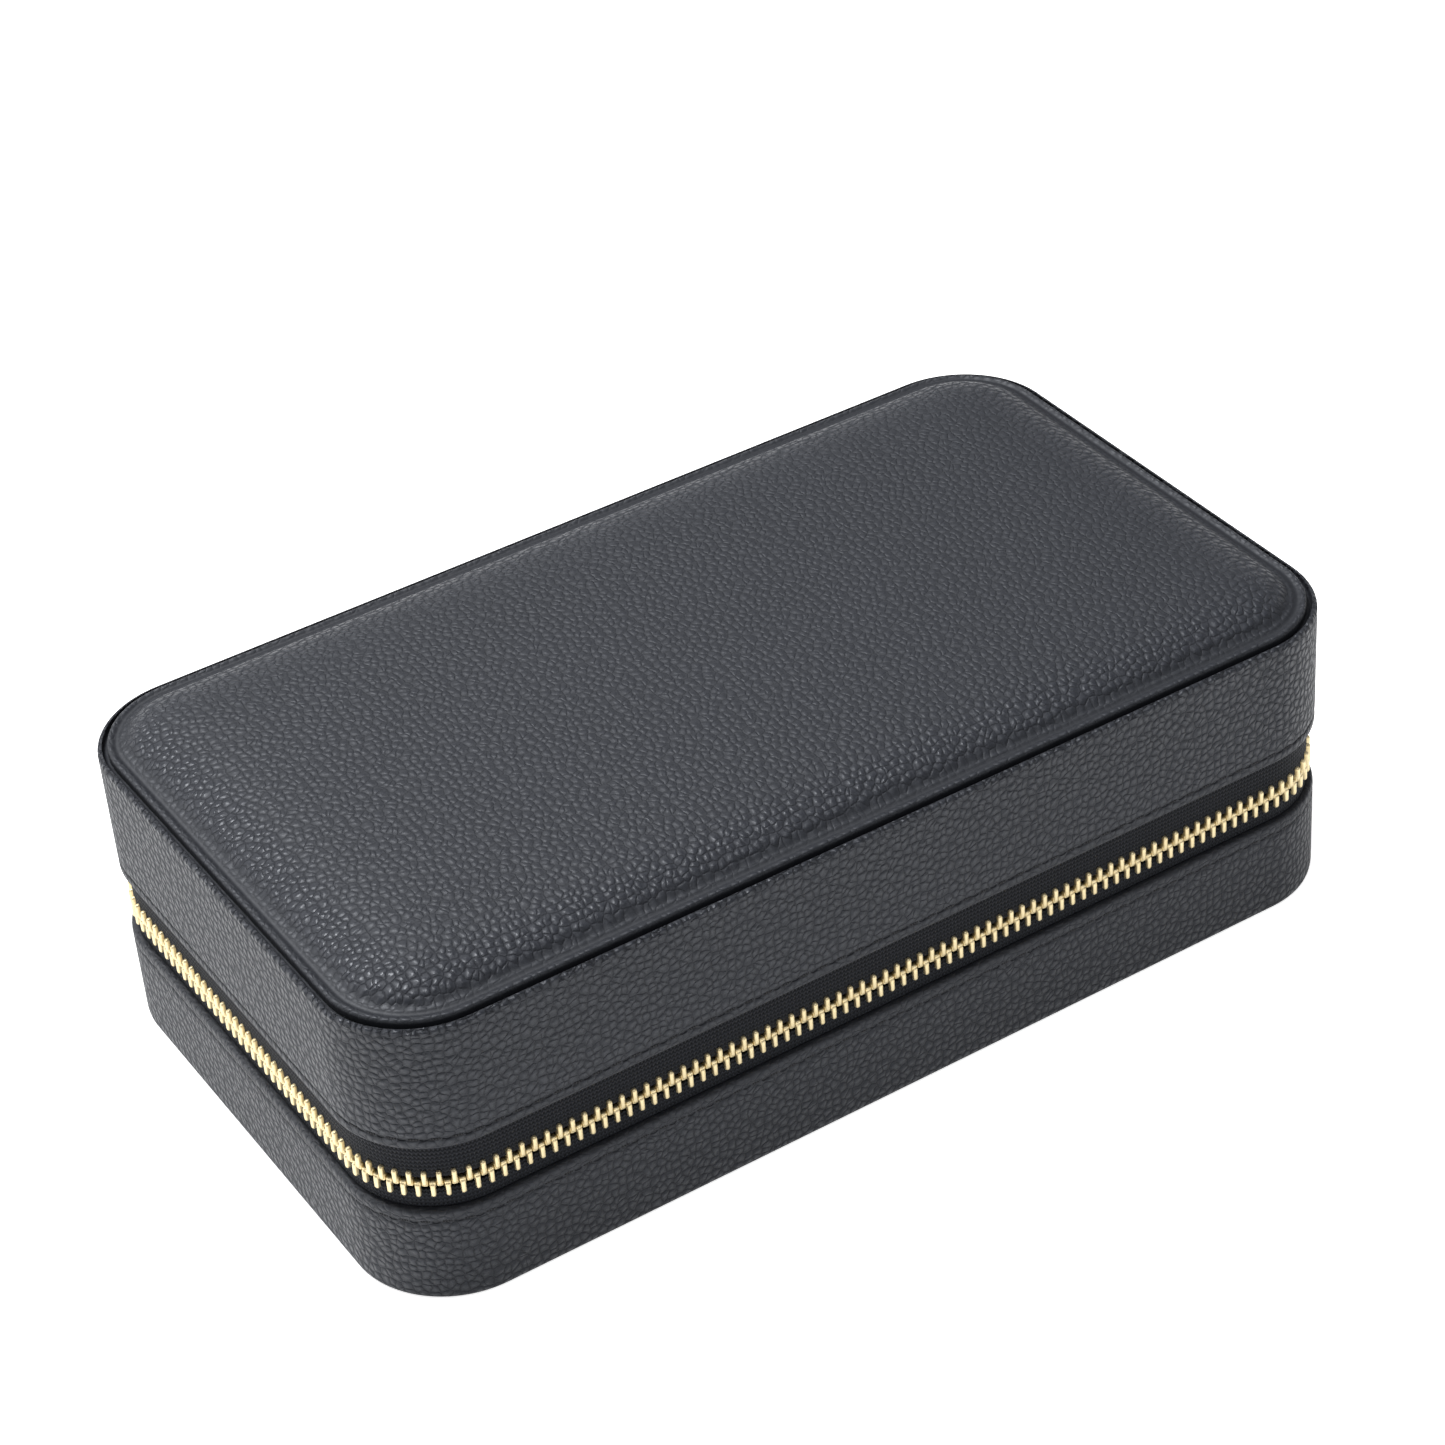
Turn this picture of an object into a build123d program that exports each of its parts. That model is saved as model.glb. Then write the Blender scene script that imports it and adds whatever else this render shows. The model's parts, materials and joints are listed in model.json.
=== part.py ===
"""Zip-around leather jewellery case with a hinged padded lid, a lift-out tray and ring rolls.

Millimetres. +X runs along the long side, the front faces -Y, the hinge is along the back at +Y,
and +Z is up. The origin is the middle of the case's underside.
"""

import os

from build123d import *

# ---- Driving dimensions of the case ----
case_length = 210.0  # outside the leather, along X
case_depth = 120.0  # outside the leather, along Y
rim_height = 61.0  # underside to the lid's rim
corner_radius = 19.5  # upright corners, outside the leather
zip_height = 26.0  # underside to the middle of the zip chain
slot_below = 5.5  # chain middle down to the base's leather edge
slot_above = 8.6  # chain middle up to the lid's leather edge

# ---- Layers of a wall, from outside to inside ----
leather_thickness = 2.0
board_thickness = 2.0
lining_thickness = 0.8
bottom_leather_thickness = 1.2
edge_round = 0.8  # turned leather edges along the slot

# ---- Lid top ----
shoulder_round = 1.0  # the side leather's edge outside the groove
shoulder_land = 0.2  # left flat beside the groove
seam_gap = 0.9  # groove between the side leather and the top panel
seam_depth = 1.4
panel_leather = 1.2
panel_margin = 4.0  # flat stitched border of the top panel
margin_height = 1.4  # border stands this much above the rim
dome_steps = [(1.6, 40.0), (1.3, 66.0), (0.8, 82.0)]  # (rise, taper in degrees) of the padded crown

# ---- Zip ----
tape_thickness = 0.6
tape_tuck = 8.0  # tape hidden behind each leather edge
tape_edge = 1.3  # chain middle to each tape's edge
tooth_pitch = 2.53
tooth_width = 1.1
tooth_thickness = 2.2
tooth_leg = 2.75  # chain middle to the end of the tooth's legs
tooth_head = 0.5  # how far a tooth passes the chain middle
tooth_clearance = 0.02  # between a tooth's slot and the tape in it
spine_width = 116.0  # leather hinge strip across the back
spine_gap = 1.5  # spine strip to the zip's last stop
stop_length = 2.2
stop_inner = 0.2  # chain middle to an end stop
slider_length = 10.5
slider_width = 9.0
slider_plate = 1.1
slider_clearance = 0.2
slider_slit = 1.0  # gap that the tape runs through
slider_flange = 1.1
slider_gap = 2.0  # between the noses of the two sliders
chain_spread = 1.5  # how far each row is pushed from the middle between the sliders
post_length = 2.0  # the post in a slider's nose, which parts the two rows
post_width = 1.8
post_clearance = 1.0  # along the chain, from the post to the first fully parted teeth
spread_margin = 0.5  # the tape's notch goes this much past the sliders
bail_radius = 0.5
bail_height = 4.4  # tape middle to the bail's bar
bail_span = 7.6

# ---- Pulls ----
link_wire = 1.0
link_clearance = 0.2
link_length = 6.0  # between the centres of its two round ends
tab_thickness = 1.2
tab_width = 7.0
tab_rim = 1.2
tab_corner = 2.6
tab_hole = 2.4
tab_foot_clearance = 2.5  # the tab's end above the underside

# ---- Inside ----
divider_thickness = 3.0
fit_gap = 0.4  # loose fit of loose inner pieces
ring_section = 66.0  # length of the ring rolls' section along X
ring_roll_count = 7
ring_roll_width = 14.2
ring_roll_gap = 1.0
ring_roll_length = 56.0
ring_roll_height = 14.5
ring_roll_round = 6.0
tray_height = 20.0
tray_board_thickness = 1.6
tray_lining_thickness = 0.6
tray_corner_radius = 3.0
tray_divider_thickness = 2.0
tray_divider_drop = 2.0  # the dividers end this much below the tray's rim
long_divider_y = 8.0
short_count = 2
ribbon_width = 9.0
ribbon_thickness = 0.5
ribbon_rise = 5.0  # above the tray's rim
ribbon_hold = 6.0  # glued inside the tray
mirror_length = 138.0
mirror_width = 72.0
mirror_thickness = 1.8
mirror_corner = 4.0
mirror_frame_width = 6.0
mirror_frame_thickness = 2.4

# ---- Worked out from the above ----
base_edge = zip_height - slot_below
lid_edge = zip_height + slot_above
board_inset = leather_thickness
lining_inset = board_inset + board_thickness
inner_inset = lining_inset + lining_thickness
tape_inset = leather_thickness - tape_thickness
tape_middle = tape_inset + tape_thickness / 2
floor_board = bottom_leather_thickness
floor_lining = floor_board + board_thickness
floor_top = floor_lining + lining_thickness
panel_inset = shoulder_round + seam_gap
panel_bottom = rim_height - seam_depth
lid_board_top = panel_bottom
lid_board_bottom = lid_board_top - board_thickness
ceiling = lid_board_bottom - lining_thickness
back_face = case_depth / 2
spine_half = spine_width / 2
zip_end = spine_half + spine_gap
side_tape_x = case_length / 2 - tape_middle


def outline(inset, mode=Mode.ADD):
    """The case's rounded outline, drawn this far inside the leather's outer face."""
    RectangleRounded(
        case_length - 2 * inset, case_depth - 2 * inset, corner_radius - inset, mode=mode
    )


def wall(outer, inner, low, high, mode=Mode.ADD):
    """An upright wall round the case between two insets and two heights."""
    with BuildSketch(Plane.XY.offset(low)) as section:
        outline(outer)
        outline(inner, mode=Mode.SUBTRACT)
    extrude(section.sketch, amount=high - low, mode=mode)


def plate(inset, low, high, mode=Mode.ADD):
    """A flat plate of the case's outline."""
    with BuildSketch(Plane.XY.offset(low)) as section:
        outline(inset)
    extrude(section.sketch, amount=high - low, mode=mode)


def block(x_low, x_high, y_low, y_high, z_low, z_high, mode=Mode.ADD):
    """A rectangular block between the given coordinates."""
    middle = ((x_low + x_high) / 2, (y_low + y_high) / 2, (z_low + z_high) / 2)
    with Locations(middle):
        Box(x_high - x_low, y_high - y_low, z_high - z_low, mode=mode)


def tape(low, high, mode=Mode.ADD):
    """The zip tape's band, which leaves the back open for the spine."""
    with BuildSketch(Plane.XY.offset(low)) as section:
        outline(tape_inset)
        outline(tape_inset + tape_thickness, mode=Mode.SUBTRACT)
        with Locations((0, back_face)):
            Rectangle(2 * spine_half + 2 * fit_gap, corner_radius, mode=Mode.SUBTRACT)
    extrude(section.sketch, amount=high - low, mode=mode)


def spine_strip(mode=Mode.ADD):
    """The hinge strip's thin leaf, tucked behind both leather edges."""
    block(
        -spine_half,
        spine_half,
        back_face - leather_thickness,
        back_face - tape_inset,
        base_edge - tape_tuck,
        lid_edge + tape_tuck,
        mode=mode,
    )


def crown(inset, low, mode=Mode.ADD):
    """The padded crown of the lid top, a stack of ever flatter tapered steps."""
    height = low
    step_inset = inset
    for rise, taper in dome_steps:
        with BuildSketch(Plane.XY.offset(height)) as section:
            outline(step_inset)
        extrude(section.sketch, amount=rise, taper=taper, mode=mode)
        step_inset += rise * tan_degrees(taper)
        height += rise


def tan_degrees(angle):
    """Tangent of an angle in degrees."""
    direction = Vector(1, 0, 0).rotate(Axis.Z, angle)
    return direction.Y / direction.X


def crown_filling(mode=Mode.ADD):
    """What the top panel's leather encloses: a flat plate and the crown, one leather lower."""
    low = rim_height + margin_height - panel_leather
    plate(panel_inset + panel_leather, panel_bottom, low, mode)
    crown(panel_inset + panel_margin, low, mode)


def save(piece, name):
    """Labels a finished piece and writes it as its own STEP file."""
    piece.part.label = name
    export_step(piece.part, f"parts/{name}.step")


os.makedirs("parts", exist_ok=True)

# ---- Base: shell, leathers and lining ----
with BuildPart() as base_board:
    plate(board_inset, floor_board, floor_lining)
    wall(board_inset, lining_inset, floor_lining, base_edge - edge_round)
save(base_board, "base_board")

with BuildPart() as base_side_leather:
    wall(0, leather_thickness, 0, base_edge)
    fillet(base_side_leather.faces().sort_by(Axis.Z)[-1].edges(), edge_round)
    tape(base_edge - tape_tuck, base_edge, mode=Mode.SUBTRACT)
    spine_strip(mode=Mode.SUBTRACT)
save(base_side_leather, "base_side_leather")

with BuildPart() as base_bottom_leather:
    plate(leather_thickness, 0, bottom_leather_thickness)
save(base_bottom_leather, "base_bottom_leather")

with BuildPart() as base_lining:
    plate(lining_inset, floor_lining, floor_top)
    wall(lining_inset, inner_inset, floor_top, base_edge - edge_round)
save(base_lining, "base_lining")

# ---- Lid: shell, leathers, padding and lining ----
with BuildPart() as lid_board:
    plate(board_inset, lid_board_bottom, lid_board_top)
    wall(board_inset, lining_inset, lid_edge + edge_round, lid_board_bottom)
save(lid_board, "lid_board")

with BuildPart() as lid_side_leather:
    wall(0, leather_thickness, lid_edge, lid_board_top)
    fillet(lid_side_leather.faces().sort_by(Axis.Z)[0].edges(), edge_round)
    wall(0, shoulder_round, lid_board_top, rim_height)
    outer_rim = lid_side_leather.faces().sort_by(Axis.Z)[-1].outer_wire().edges()
    fillet(outer_rim, shoulder_round - shoulder_land)
    tape(lid_edge, lid_edge + tape_tuck, mode=Mode.SUBTRACT)
    spine_strip(mode=Mode.SUBTRACT)
save(lid_side_leather, "lid_side_leather")

with BuildPart() as lid_top_leather:
    plate(panel_inset, panel_bottom, rim_height + margin_height)
    fillet(lid_top_leather.faces().sort_by(Axis.Z)[-1].edges(), edge_round)
    crown(panel_inset + panel_margin, rim_height + margin_height)
    crown_filling(Mode.SUBTRACT)
save(lid_top_leather, "lid_top_leather")

with BuildPart() as lid_top_foam:
    crown_filling()
save(lid_top_foam, "lid_top_foam")

with BuildPart() as lid_lining:
    plate(lining_inset, ceiling, lid_board_bottom)
    wall(lining_inset, inner_inset, lid_edge + edge_round, ceiling)
save(lid_lining, "lid_lining")

# ---- Mirror under the lid ----
frame_bottom = ceiling - mirror_frame_thickness
with BuildPart() as mirror_frame:
    with BuildSketch(Plane.XY.offset(frame_bottom)):
        frame_length = mirror_length + 2 * mirror_frame_width
        frame_width = mirror_width + 2 * mirror_frame_width
        RectangleRounded(frame_length, frame_width, mirror_corner + mirror_frame_width / 2)
        RectangleRounded(mirror_length, mirror_width, mirror_corner, mode=Mode.SUBTRACT)
    extrude(amount=mirror_frame_thickness)
save(mirror_frame, "mirror_frame")

with BuildPart() as mirror_glass:
    with BuildSketch(Plane.XY.offset(ceiling - mirror_thickness)):
        RectangleRounded(mirror_length, mirror_width, mirror_corner)
    extrude(amount=mirror_thickness)
save(mirror_glass, "mirror_glass")

# ---- Zip tapes ----
half_slider_reach = (slider_gap + slider_length) / 2
spread_half = half_slider_reach + spread_margin


def spread_notch(low, high):
    """Takes the tape's edge back where the two rows part between the sliders."""
    block(
        side_tape_x - tooth_thickness,
        side_tape_x + tooth_thickness,
        -spread_half,
        spread_half,
        low,
        high,
        mode=Mode.SUBTRACT,
    )


tape_notch = tape_edge + chain_spread
with BuildPart() as zip_tape_lower:
    tape(base_edge - tape_tuck, zip_height - tape_edge)
    spread_notch(zip_height - tape_notch, zip_height)
save(zip_tape_lower, "zip_tape_lower")

with BuildPart() as zip_tape_upper:
    tape(zip_height + tape_edge, lid_edge + tape_tuck)
    spread_notch(zip_height, zip_height + tape_notch)
save(zip_tape_upper, "zip_tape_upper")

# ---- Zip teeth: the chain follows the tape round the case from one back end to the other ----
chain_x = case_length / 2 - tape_middle
chain_y = case_depth / 2 - tape_middle
with BuildLine(Plane.XY.offset(zip_height)) as chain:
    FilletPolyline(
        (-zip_end, chain_y),
        (-chain_x, chain_y),
        (-chain_x, -chain_y),
        (chain_x, -chain_y),
        (chain_x, chain_y),
        (zip_end, chain_y),
        radius=corner_radius - tape_middle,
    )
chain_path = chain.wires()[0]
chain_start = stop_length + tooth_pitch / 2
tooth_count = int((chain_path.length - 2 * chain_start) / tooth_pitch)


def chain_place(distance):
    """A place on the chain: local X runs along it and local Z is up."""
    point = chain_path.position_at(distance, position_mode=PositionMode.LENGTH)
    tangent = chain_path.tangent_at(distance, position_mode=PositionMode.LENGTH)
    return Plane(origin=point, x_dir=tangent, z_dir=(0, 0, 1))


def spread_at(point):
    """How far a row stands off the chain's middle: only between the two sliders."""
    if point.X < side_tape_x - tape_thickness:
        return 0.0
    closed = half_slider_reach
    parted = slider_gap / 2 + post_length + post_clearance
    part = (closed - abs(point.Y)) / (closed - parted)
    return chain_spread * min(max(part, 0.0), 1.0)


with BuildPart(mode=Mode.PRIVATE) as tooth:
    with Locations((0, 0, (tooth_head - tooth_leg) / 2)):
        Box(tooth_width, tooth_thickness, tooth_head + tooth_leg)
    leg_slot = tooth_leg - tape_edge + tooth_clearance
    with Locations((0, 0, -tooth_leg + leg_slot / 2)):
        Box(tooth_width, tape_thickness + 2 * tooth_clearance, leg_slot, mode=Mode.SUBTRACT)


def row_places(first, side):
    """Places of one row's teeth; side is -1 for the base's row and +1 for the lid's."""
    places = []
    for index in range(tooth_count):
        place = chain_place(first + index * tooth_pitch)
        shift = side * spread_at(place.origin)
        flip = 180 if side > 0 else 0
        places.append(Location(place) * Location((0, 0, shift), (flip, 0, 0)))
    return places


with BuildPart() as zip_teeth_lower:
    with Locations(row_places(chain_start, -1)):
        add(tooth.part)
save(zip_teeth_lower, "zip_teeth_lower")

with BuildPart() as zip_teeth_upper:
    with Locations(row_places(chain_start + tooth_pitch / 2, 1)):
        add(tooth.part)
save(zip_teeth_upper, "zip_teeth_upper")


def end_stop_places(side):
    """Places of one tape's two end stops."""
    places = []
    for distance in (stop_length / 2, chain_path.length - stop_length / 2):
        flip = 180 if side > 0 else 0
        places.append(Location(chain_place(distance)) * Location((0, 0, 0), (flip, 0, 0)))
    return places


with BuildPart(mode=Mode.PRIVATE) as end_stop:
    with Locations((0, 0, -(tooth_leg + stop_inner) / 2)):
        Box(stop_length, tooth_thickness, tooth_leg - stop_inner)
    with Locations((0, 0, -tooth_leg + leg_slot / 2)):
        Box(stop_length, tape_thickness + 2 * tooth_clearance, leg_slot, mode=Mode.SUBTRACT)

with BuildPart() as zip_end_stops_lower:
    with Locations(end_stop_places(-1)):
        add(end_stop.part)
save(zip_end_stops_lower, "zip_end_stops_lower")

with BuildPart() as zip_end_stops_upper:
    with Locations(end_stop_places(1)):
        add(end_stop.part)
save(zip_end_stops_upper, "zip_end_stops_upper")

# ---- Spine: the leather strip that is the lid's hinge, and its lining inside ----
with BuildPart() as spine_leather:
    spine_strip()
    block(
        -spine_half,
        spine_half,
        back_face - tape_inset,
        back_face - fit_gap,
        base_edge + fit_gap,
        lid_edge - fit_gap,
    )
save(spine_leather, "spine_leather")

with BuildPart() as spine_lining:
    block(
        -spine_half,
        spine_half,
        back_face - inner_inset,
        back_face - lining_inset,
        base_edge + fit_gap,
        lid_edge - fit_gap,
    )
save(spine_lining, "spine_lining")

# ---- Two sliders, nose to nose on the right side, each with a link and a tab ----
plate_inner = tooth_thickness / 2 + slider_clearance
plate_outer = plate_inner + slider_plate
tail_length = slider_length / 2 - slider_flange / 2  # the flanges run along the closed half
nose_middle = slider_length / 2 - post_length / 2


def make_slider(name, nose):
    """One slider; nose is +1 when its nose points to +Y and -1 when it points to -Y."""
    middle = -nose * (slider_gap + slider_length) / 2
    face = Plane(origin=(side_tape_x, middle, zip_height), x_dir=(0, nose, 0), z_dir=(1, 0, 0))
    with BuildPart(face) as slider:
        for side in (-1, 1):
            with Locations((0, 0, side * (plate_inner + plate_outer) / 2)):
                Box(slider_length, slider_width, slider_plate)
            flange_height = plate_inner - slider_slit / 2
            for edge in (-1, 1):
                flange_place = (
                    -slider_length / 2 + tail_length / 2,
                    edge * (slider_width - slider_flange) / 2,
                    side * (plate_inner - flange_height / 2),
                )
                with Locations(flange_place):
                    Box(tail_length, slider_flange, flange_height)
        upright = slider.edges().filter_by(Axis.X).group_by(Axis.X)[-1]
        fillet(upright, slider_plate / 2)
        with Locations((nose_middle, 0, 0)):
            Box(post_length, post_width, 2 * plate_inner)
        foot = 2 * bail_radius
        for end in (-1, 1):
            foot_height = bail_height + bail_radius - plate_outer
            with Locations((end * (bail_span - foot) / 2, 0, plate_outer + foot_height / 2)):
                Box(foot, 2 * foot, foot_height)
        with Locations((0, 0, bail_height)):
            Cylinder(bail_radius, bail_span - foot, rotation=(0, 90, 0))
    save(slider, name)


def make_pull(side, nose):
    """The link through the slider's bail, and the tab that hangs from the link."""
    middle = -nose * (slider_gap + slider_length) / 2
    bar_x = side_tape_x + bail_height
    inner_width = 2 * (bail_radius + link_clearance)
    low_end = zip_height - link_length
    link_middle = (bar_x, middle + link_wire / 2, (zip_height + low_end) / 2)
    upright = Plane(origin=link_middle, x_dir=(1, 0, 0), z_dir=(0, -1, 0))
    with BuildPart() as link:
        with BuildSketch(upright):
            SlotCenterToCenter(link_length, inner_width + 2 * link_wire, rotation=90)
            SlotCenterToCenter(link_length, inner_width, rotation=90, mode=Mode.SUBTRACT)
        extrude(amount=link_wire)
    save(link, f"pull_link_{side}")

    tab_top = low_end + tab_rim
    tab_length = tab_top - tab_foot_clearance
    with BuildPart() as tab:
        tab_middle = (bar_x - tab_thickness / 2, middle, tab_top - tab_length / 2)
        face = Plane(origin=tab_middle, x_dir=(0, 1, 0), z_dir=(1, 0, 0))
        with BuildSketch(face):
            RectangleRounded(tab_width, tab_length, tab_corner)
            with Locations((0, tab_length / 2 - tab_rim - tab_hole / 2)):
                Rectangle(tab_hole, tab_hole, mode=Mode.SUBTRACT)
        extrude(amount=tab_thickness)
    save(tab, f"pull_tab_{side}")


make_slider("slider_front", 1)
make_slider("slider_rear", -1)
make_pull("front", 1)
make_pull("rear", -1)

# ---- Base inside: two padded dividers and the ring rolls ----
inner_half_x = case_length / 2 - inner_inset
inner_half_y = case_depth / 2 - inner_inset
ring_divider_x = inner_half_x - ring_section
divider_top = base_edge - edge_round
middle_divider_x = (ring_divider_x - inner_half_x) / 2
for name, place in (("divider_ring", ring_divider_x), ("divider_middle", middle_divider_x)):
    with BuildPart() as divider:
        block(
            place - divider_thickness / 2,
            place + divider_thickness / 2,
            -inner_half_y,
            inner_half_y,
            floor_top,
            divider_top,
        )
    save(divider, name)

roll_pitch = ring_roll_width + ring_roll_gap
roll_start = ring_divider_x + divider_thickness / 2
for index in range(ring_roll_count):
    roll_y = (index - (ring_roll_count - 1) / 2) * roll_pitch
    with BuildPart() as ring_roll:
        with BuildSketch(Plane.YZ.offset(roll_start)):
            with Locations((roll_y, floor_top + ring_roll_height / 2)):
                RectangleRounded(ring_roll_width, ring_roll_height, ring_roll_round)
        extrude(amount=ring_roll_length)
    save(ring_roll, f"ring_roll_{index + 1}")

# ---- Lift-out tray, which stands on the dividers ----
tray_low_x = -inner_half_x + fit_gap
tray_high_x = ring_divider_x + divider_thickness / 2
tray_half_y = inner_half_y - fit_gap
tray_corner = corner_radius - inner_inset - fit_gap


def tray_shape(inset, low, high, mode=Mode.ADD):
    """The tray's outline: the case's round corners on its left and small ones on its right."""
    with BuildSketch(Plane.XY.offset(low)) as section:
        length = tray_high_x - tray_low_x - 2 * inset
        with Locations(((tray_low_x + tray_high_x) / 2, 0)):
            Rectangle(length, 2 * (tray_half_y - inset))
        corners = section.vertices().group_by(Axis.X)
        fillet(corners[0], tray_corner - inset)
        fillet(corners[-1], tray_corner_radius - inset)
    extrude(section.sketch, amount=high - low, mode=mode)


tray_bottom = divider_top
tray_top = tray_bottom + tray_height
tray_floor = tray_bottom + tray_board_thickness
with BuildPart() as tray_board:
    tray_shape(0, tray_bottom, tray_top)
    tray_shape(tray_board_thickness, tray_floor, tray_top, mode=Mode.SUBTRACT)
save(tray_board, "tray_board")

tray_inset = tray_board_thickness + tray_lining_thickness
tray_deck = tray_floor + tray_lining_thickness
with BuildPart() as tray_lining:
    tray_shape(tray_board_thickness, tray_floor, tray_top)
    tray_shape(tray_inset, tray_deck, tray_top, mode=Mode.SUBTRACT)
save(tray_lining, "tray_lining")

tray_inner_low = tray_low_x + tray_inset
tray_inner_high = tray_high_x - tray_inset
tray_divider_top = tray_top - tray_divider_drop
with BuildPart() as tray_divider_long:
    block(
        tray_inner_low,
        tray_inner_high,
        long_divider_y - tray_divider_thickness / 2,
        long_divider_y + tray_divider_thickness / 2,
        tray_deck,
        tray_divider_top,
    )
save(tray_divider_long, "tray_divider_long")

short_pitch = (tray_inner_high - tray_inner_low) / (short_count + 1)
for index in range(short_count):
    short_x = tray_inner_low + short_pitch * (index + 1)
    with BuildPart() as tray_divider_short:
        block(
            short_x - tray_divider_thickness / 2,
            short_x + tray_divider_thickness / 2,
            -tray_half_y + tray_inset,
            long_divider_y - tray_divider_thickness / 2,
            tray_deck,
            tray_divider_top,
        )
    save(tray_divider_short, f"tray_divider_short_{index + 1}")

for name, side in (("tray_ribbon_front", -1), ("tray_ribbon_back", 1)):
    tray_wall = tray_half_y - tray_inset
    ribbon_faces = sorted((side * tray_wall, side * (tray_wall - ribbon_thickness)))
    with BuildPart() as tray_ribbon:
        block(
            -ribbon_width / 2 + middle_divider_x,
            ribbon_width / 2 + middle_divider_x,
            ribbon_faces[0],
            ribbon_faces[1],
            tray_top - ribbon_hold,
            tray_top + ribbon_rise,
        )
    save(tray_ribbon, name)

print(f"chain {chain_path.length:.1f} mm, {tooth_count} teeth a row")
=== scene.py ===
# %% [markdown]
# # A zip-around leather jewellery case
#
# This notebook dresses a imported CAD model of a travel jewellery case. The CAD pieces are a fixed
# frame: they say where everything is and how it moves. Each cell below builds one real piece of
# the case in Blender, in metres, in the same place, and lets it ride on the CAD body it belongs to.

# %% Load the fixed frame
import json
import math

import bmesh
import bpy
import numpy as np
from mathutils import Matrix, Vector


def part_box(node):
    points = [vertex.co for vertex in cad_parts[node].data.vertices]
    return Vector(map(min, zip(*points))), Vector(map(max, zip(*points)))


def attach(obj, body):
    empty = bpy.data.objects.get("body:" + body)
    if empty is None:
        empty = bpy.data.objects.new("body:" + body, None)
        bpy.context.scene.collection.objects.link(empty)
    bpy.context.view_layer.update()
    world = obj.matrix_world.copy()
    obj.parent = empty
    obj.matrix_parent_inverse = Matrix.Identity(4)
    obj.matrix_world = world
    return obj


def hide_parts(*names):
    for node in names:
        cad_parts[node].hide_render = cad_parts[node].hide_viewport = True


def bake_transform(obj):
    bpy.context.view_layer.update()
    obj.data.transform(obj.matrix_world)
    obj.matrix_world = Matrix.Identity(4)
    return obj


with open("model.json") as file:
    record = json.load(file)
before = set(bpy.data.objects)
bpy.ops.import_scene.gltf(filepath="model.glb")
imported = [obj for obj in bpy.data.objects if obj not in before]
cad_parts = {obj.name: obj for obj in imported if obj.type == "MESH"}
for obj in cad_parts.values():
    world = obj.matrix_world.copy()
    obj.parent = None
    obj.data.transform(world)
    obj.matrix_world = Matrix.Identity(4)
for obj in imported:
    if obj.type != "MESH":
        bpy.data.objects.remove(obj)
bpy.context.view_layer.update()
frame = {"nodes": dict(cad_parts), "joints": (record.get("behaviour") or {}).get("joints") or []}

# %% [markdown]
# ## Sizes
#
# A maker works from a few sizes and lets the rest follow. The outside sizes come from the frame,
# so the looks can't drift from the CAD model. What the frame doesn't say, such as the corner's
# radius, is named here once. All lengths are in metres, and `mm` keeps them readable.

# %% Sizes of the case, read from the frame
mm = 0.001
base_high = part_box("base_side_leather")[1]
lid_low, lid_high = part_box("lid_side_leather")
half_length = base_high.x
half_depth = base_high.y
base_edge = base_high.z
lid_edge = lid_low.z
rim = lid_high.z
corner_radius = 19.5 * mm
leather = 2.0 * mm
hinge = Vector(frame["joints"][0]["pos_m"])
zip_height = hinge.z
print(f"case {2 * half_length / mm:.0f} x {2 * half_depth / mm:.0f} x {rim / mm:.0f} mm")
print(f"zip middle at {zip_height / mm:.1f} mm, slot {base_edge / mm:.1f} to {lid_edge / mm:.1f} mm")

# %% [markdown]
# ## Shader maths as plain Python
#
# Procedural materials are small programs made of nodes. Wiring Math nodes by hand hides the
# formula, so the class `Wire` wraps an output socket and lets Python's operators add the nodes:
# `1 - mask * 2` becomes two Math nodes. The class `Finish` holds one material and has a single
# method, `node`, for every other kind of node: its type, its settings, then its sockets.

# %% Wires and finishes
class Wire:
    """An output socket that can be used in a sum."""

    def __init__(self, finish, socket):
        self.finish = finish
        self.socket = socket

    def math(self, operation, *others):
        inputs = dict(enumerate((self,) + others))
        return self.finish.node("ShaderNodeMath", {"operation": operation}, inputs)

    def __add__(self, other):
        return self.math("ADD", other)

    def __sub__(self, other):
        return self.math("SUBTRACT", other)

    def __rsub__(self, other):
        return self.finish.node("ShaderNodeMath", {"operation": "SUBTRACT"}, {0: other, 1: self})

    def __mul__(self, other):
        return self.math("MULTIPLY", other)

    def __truediv__(self, other):
        return self.math("DIVIDE", other)

    __radd__ = __add__
    __rmul__ = __mul__


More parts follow.
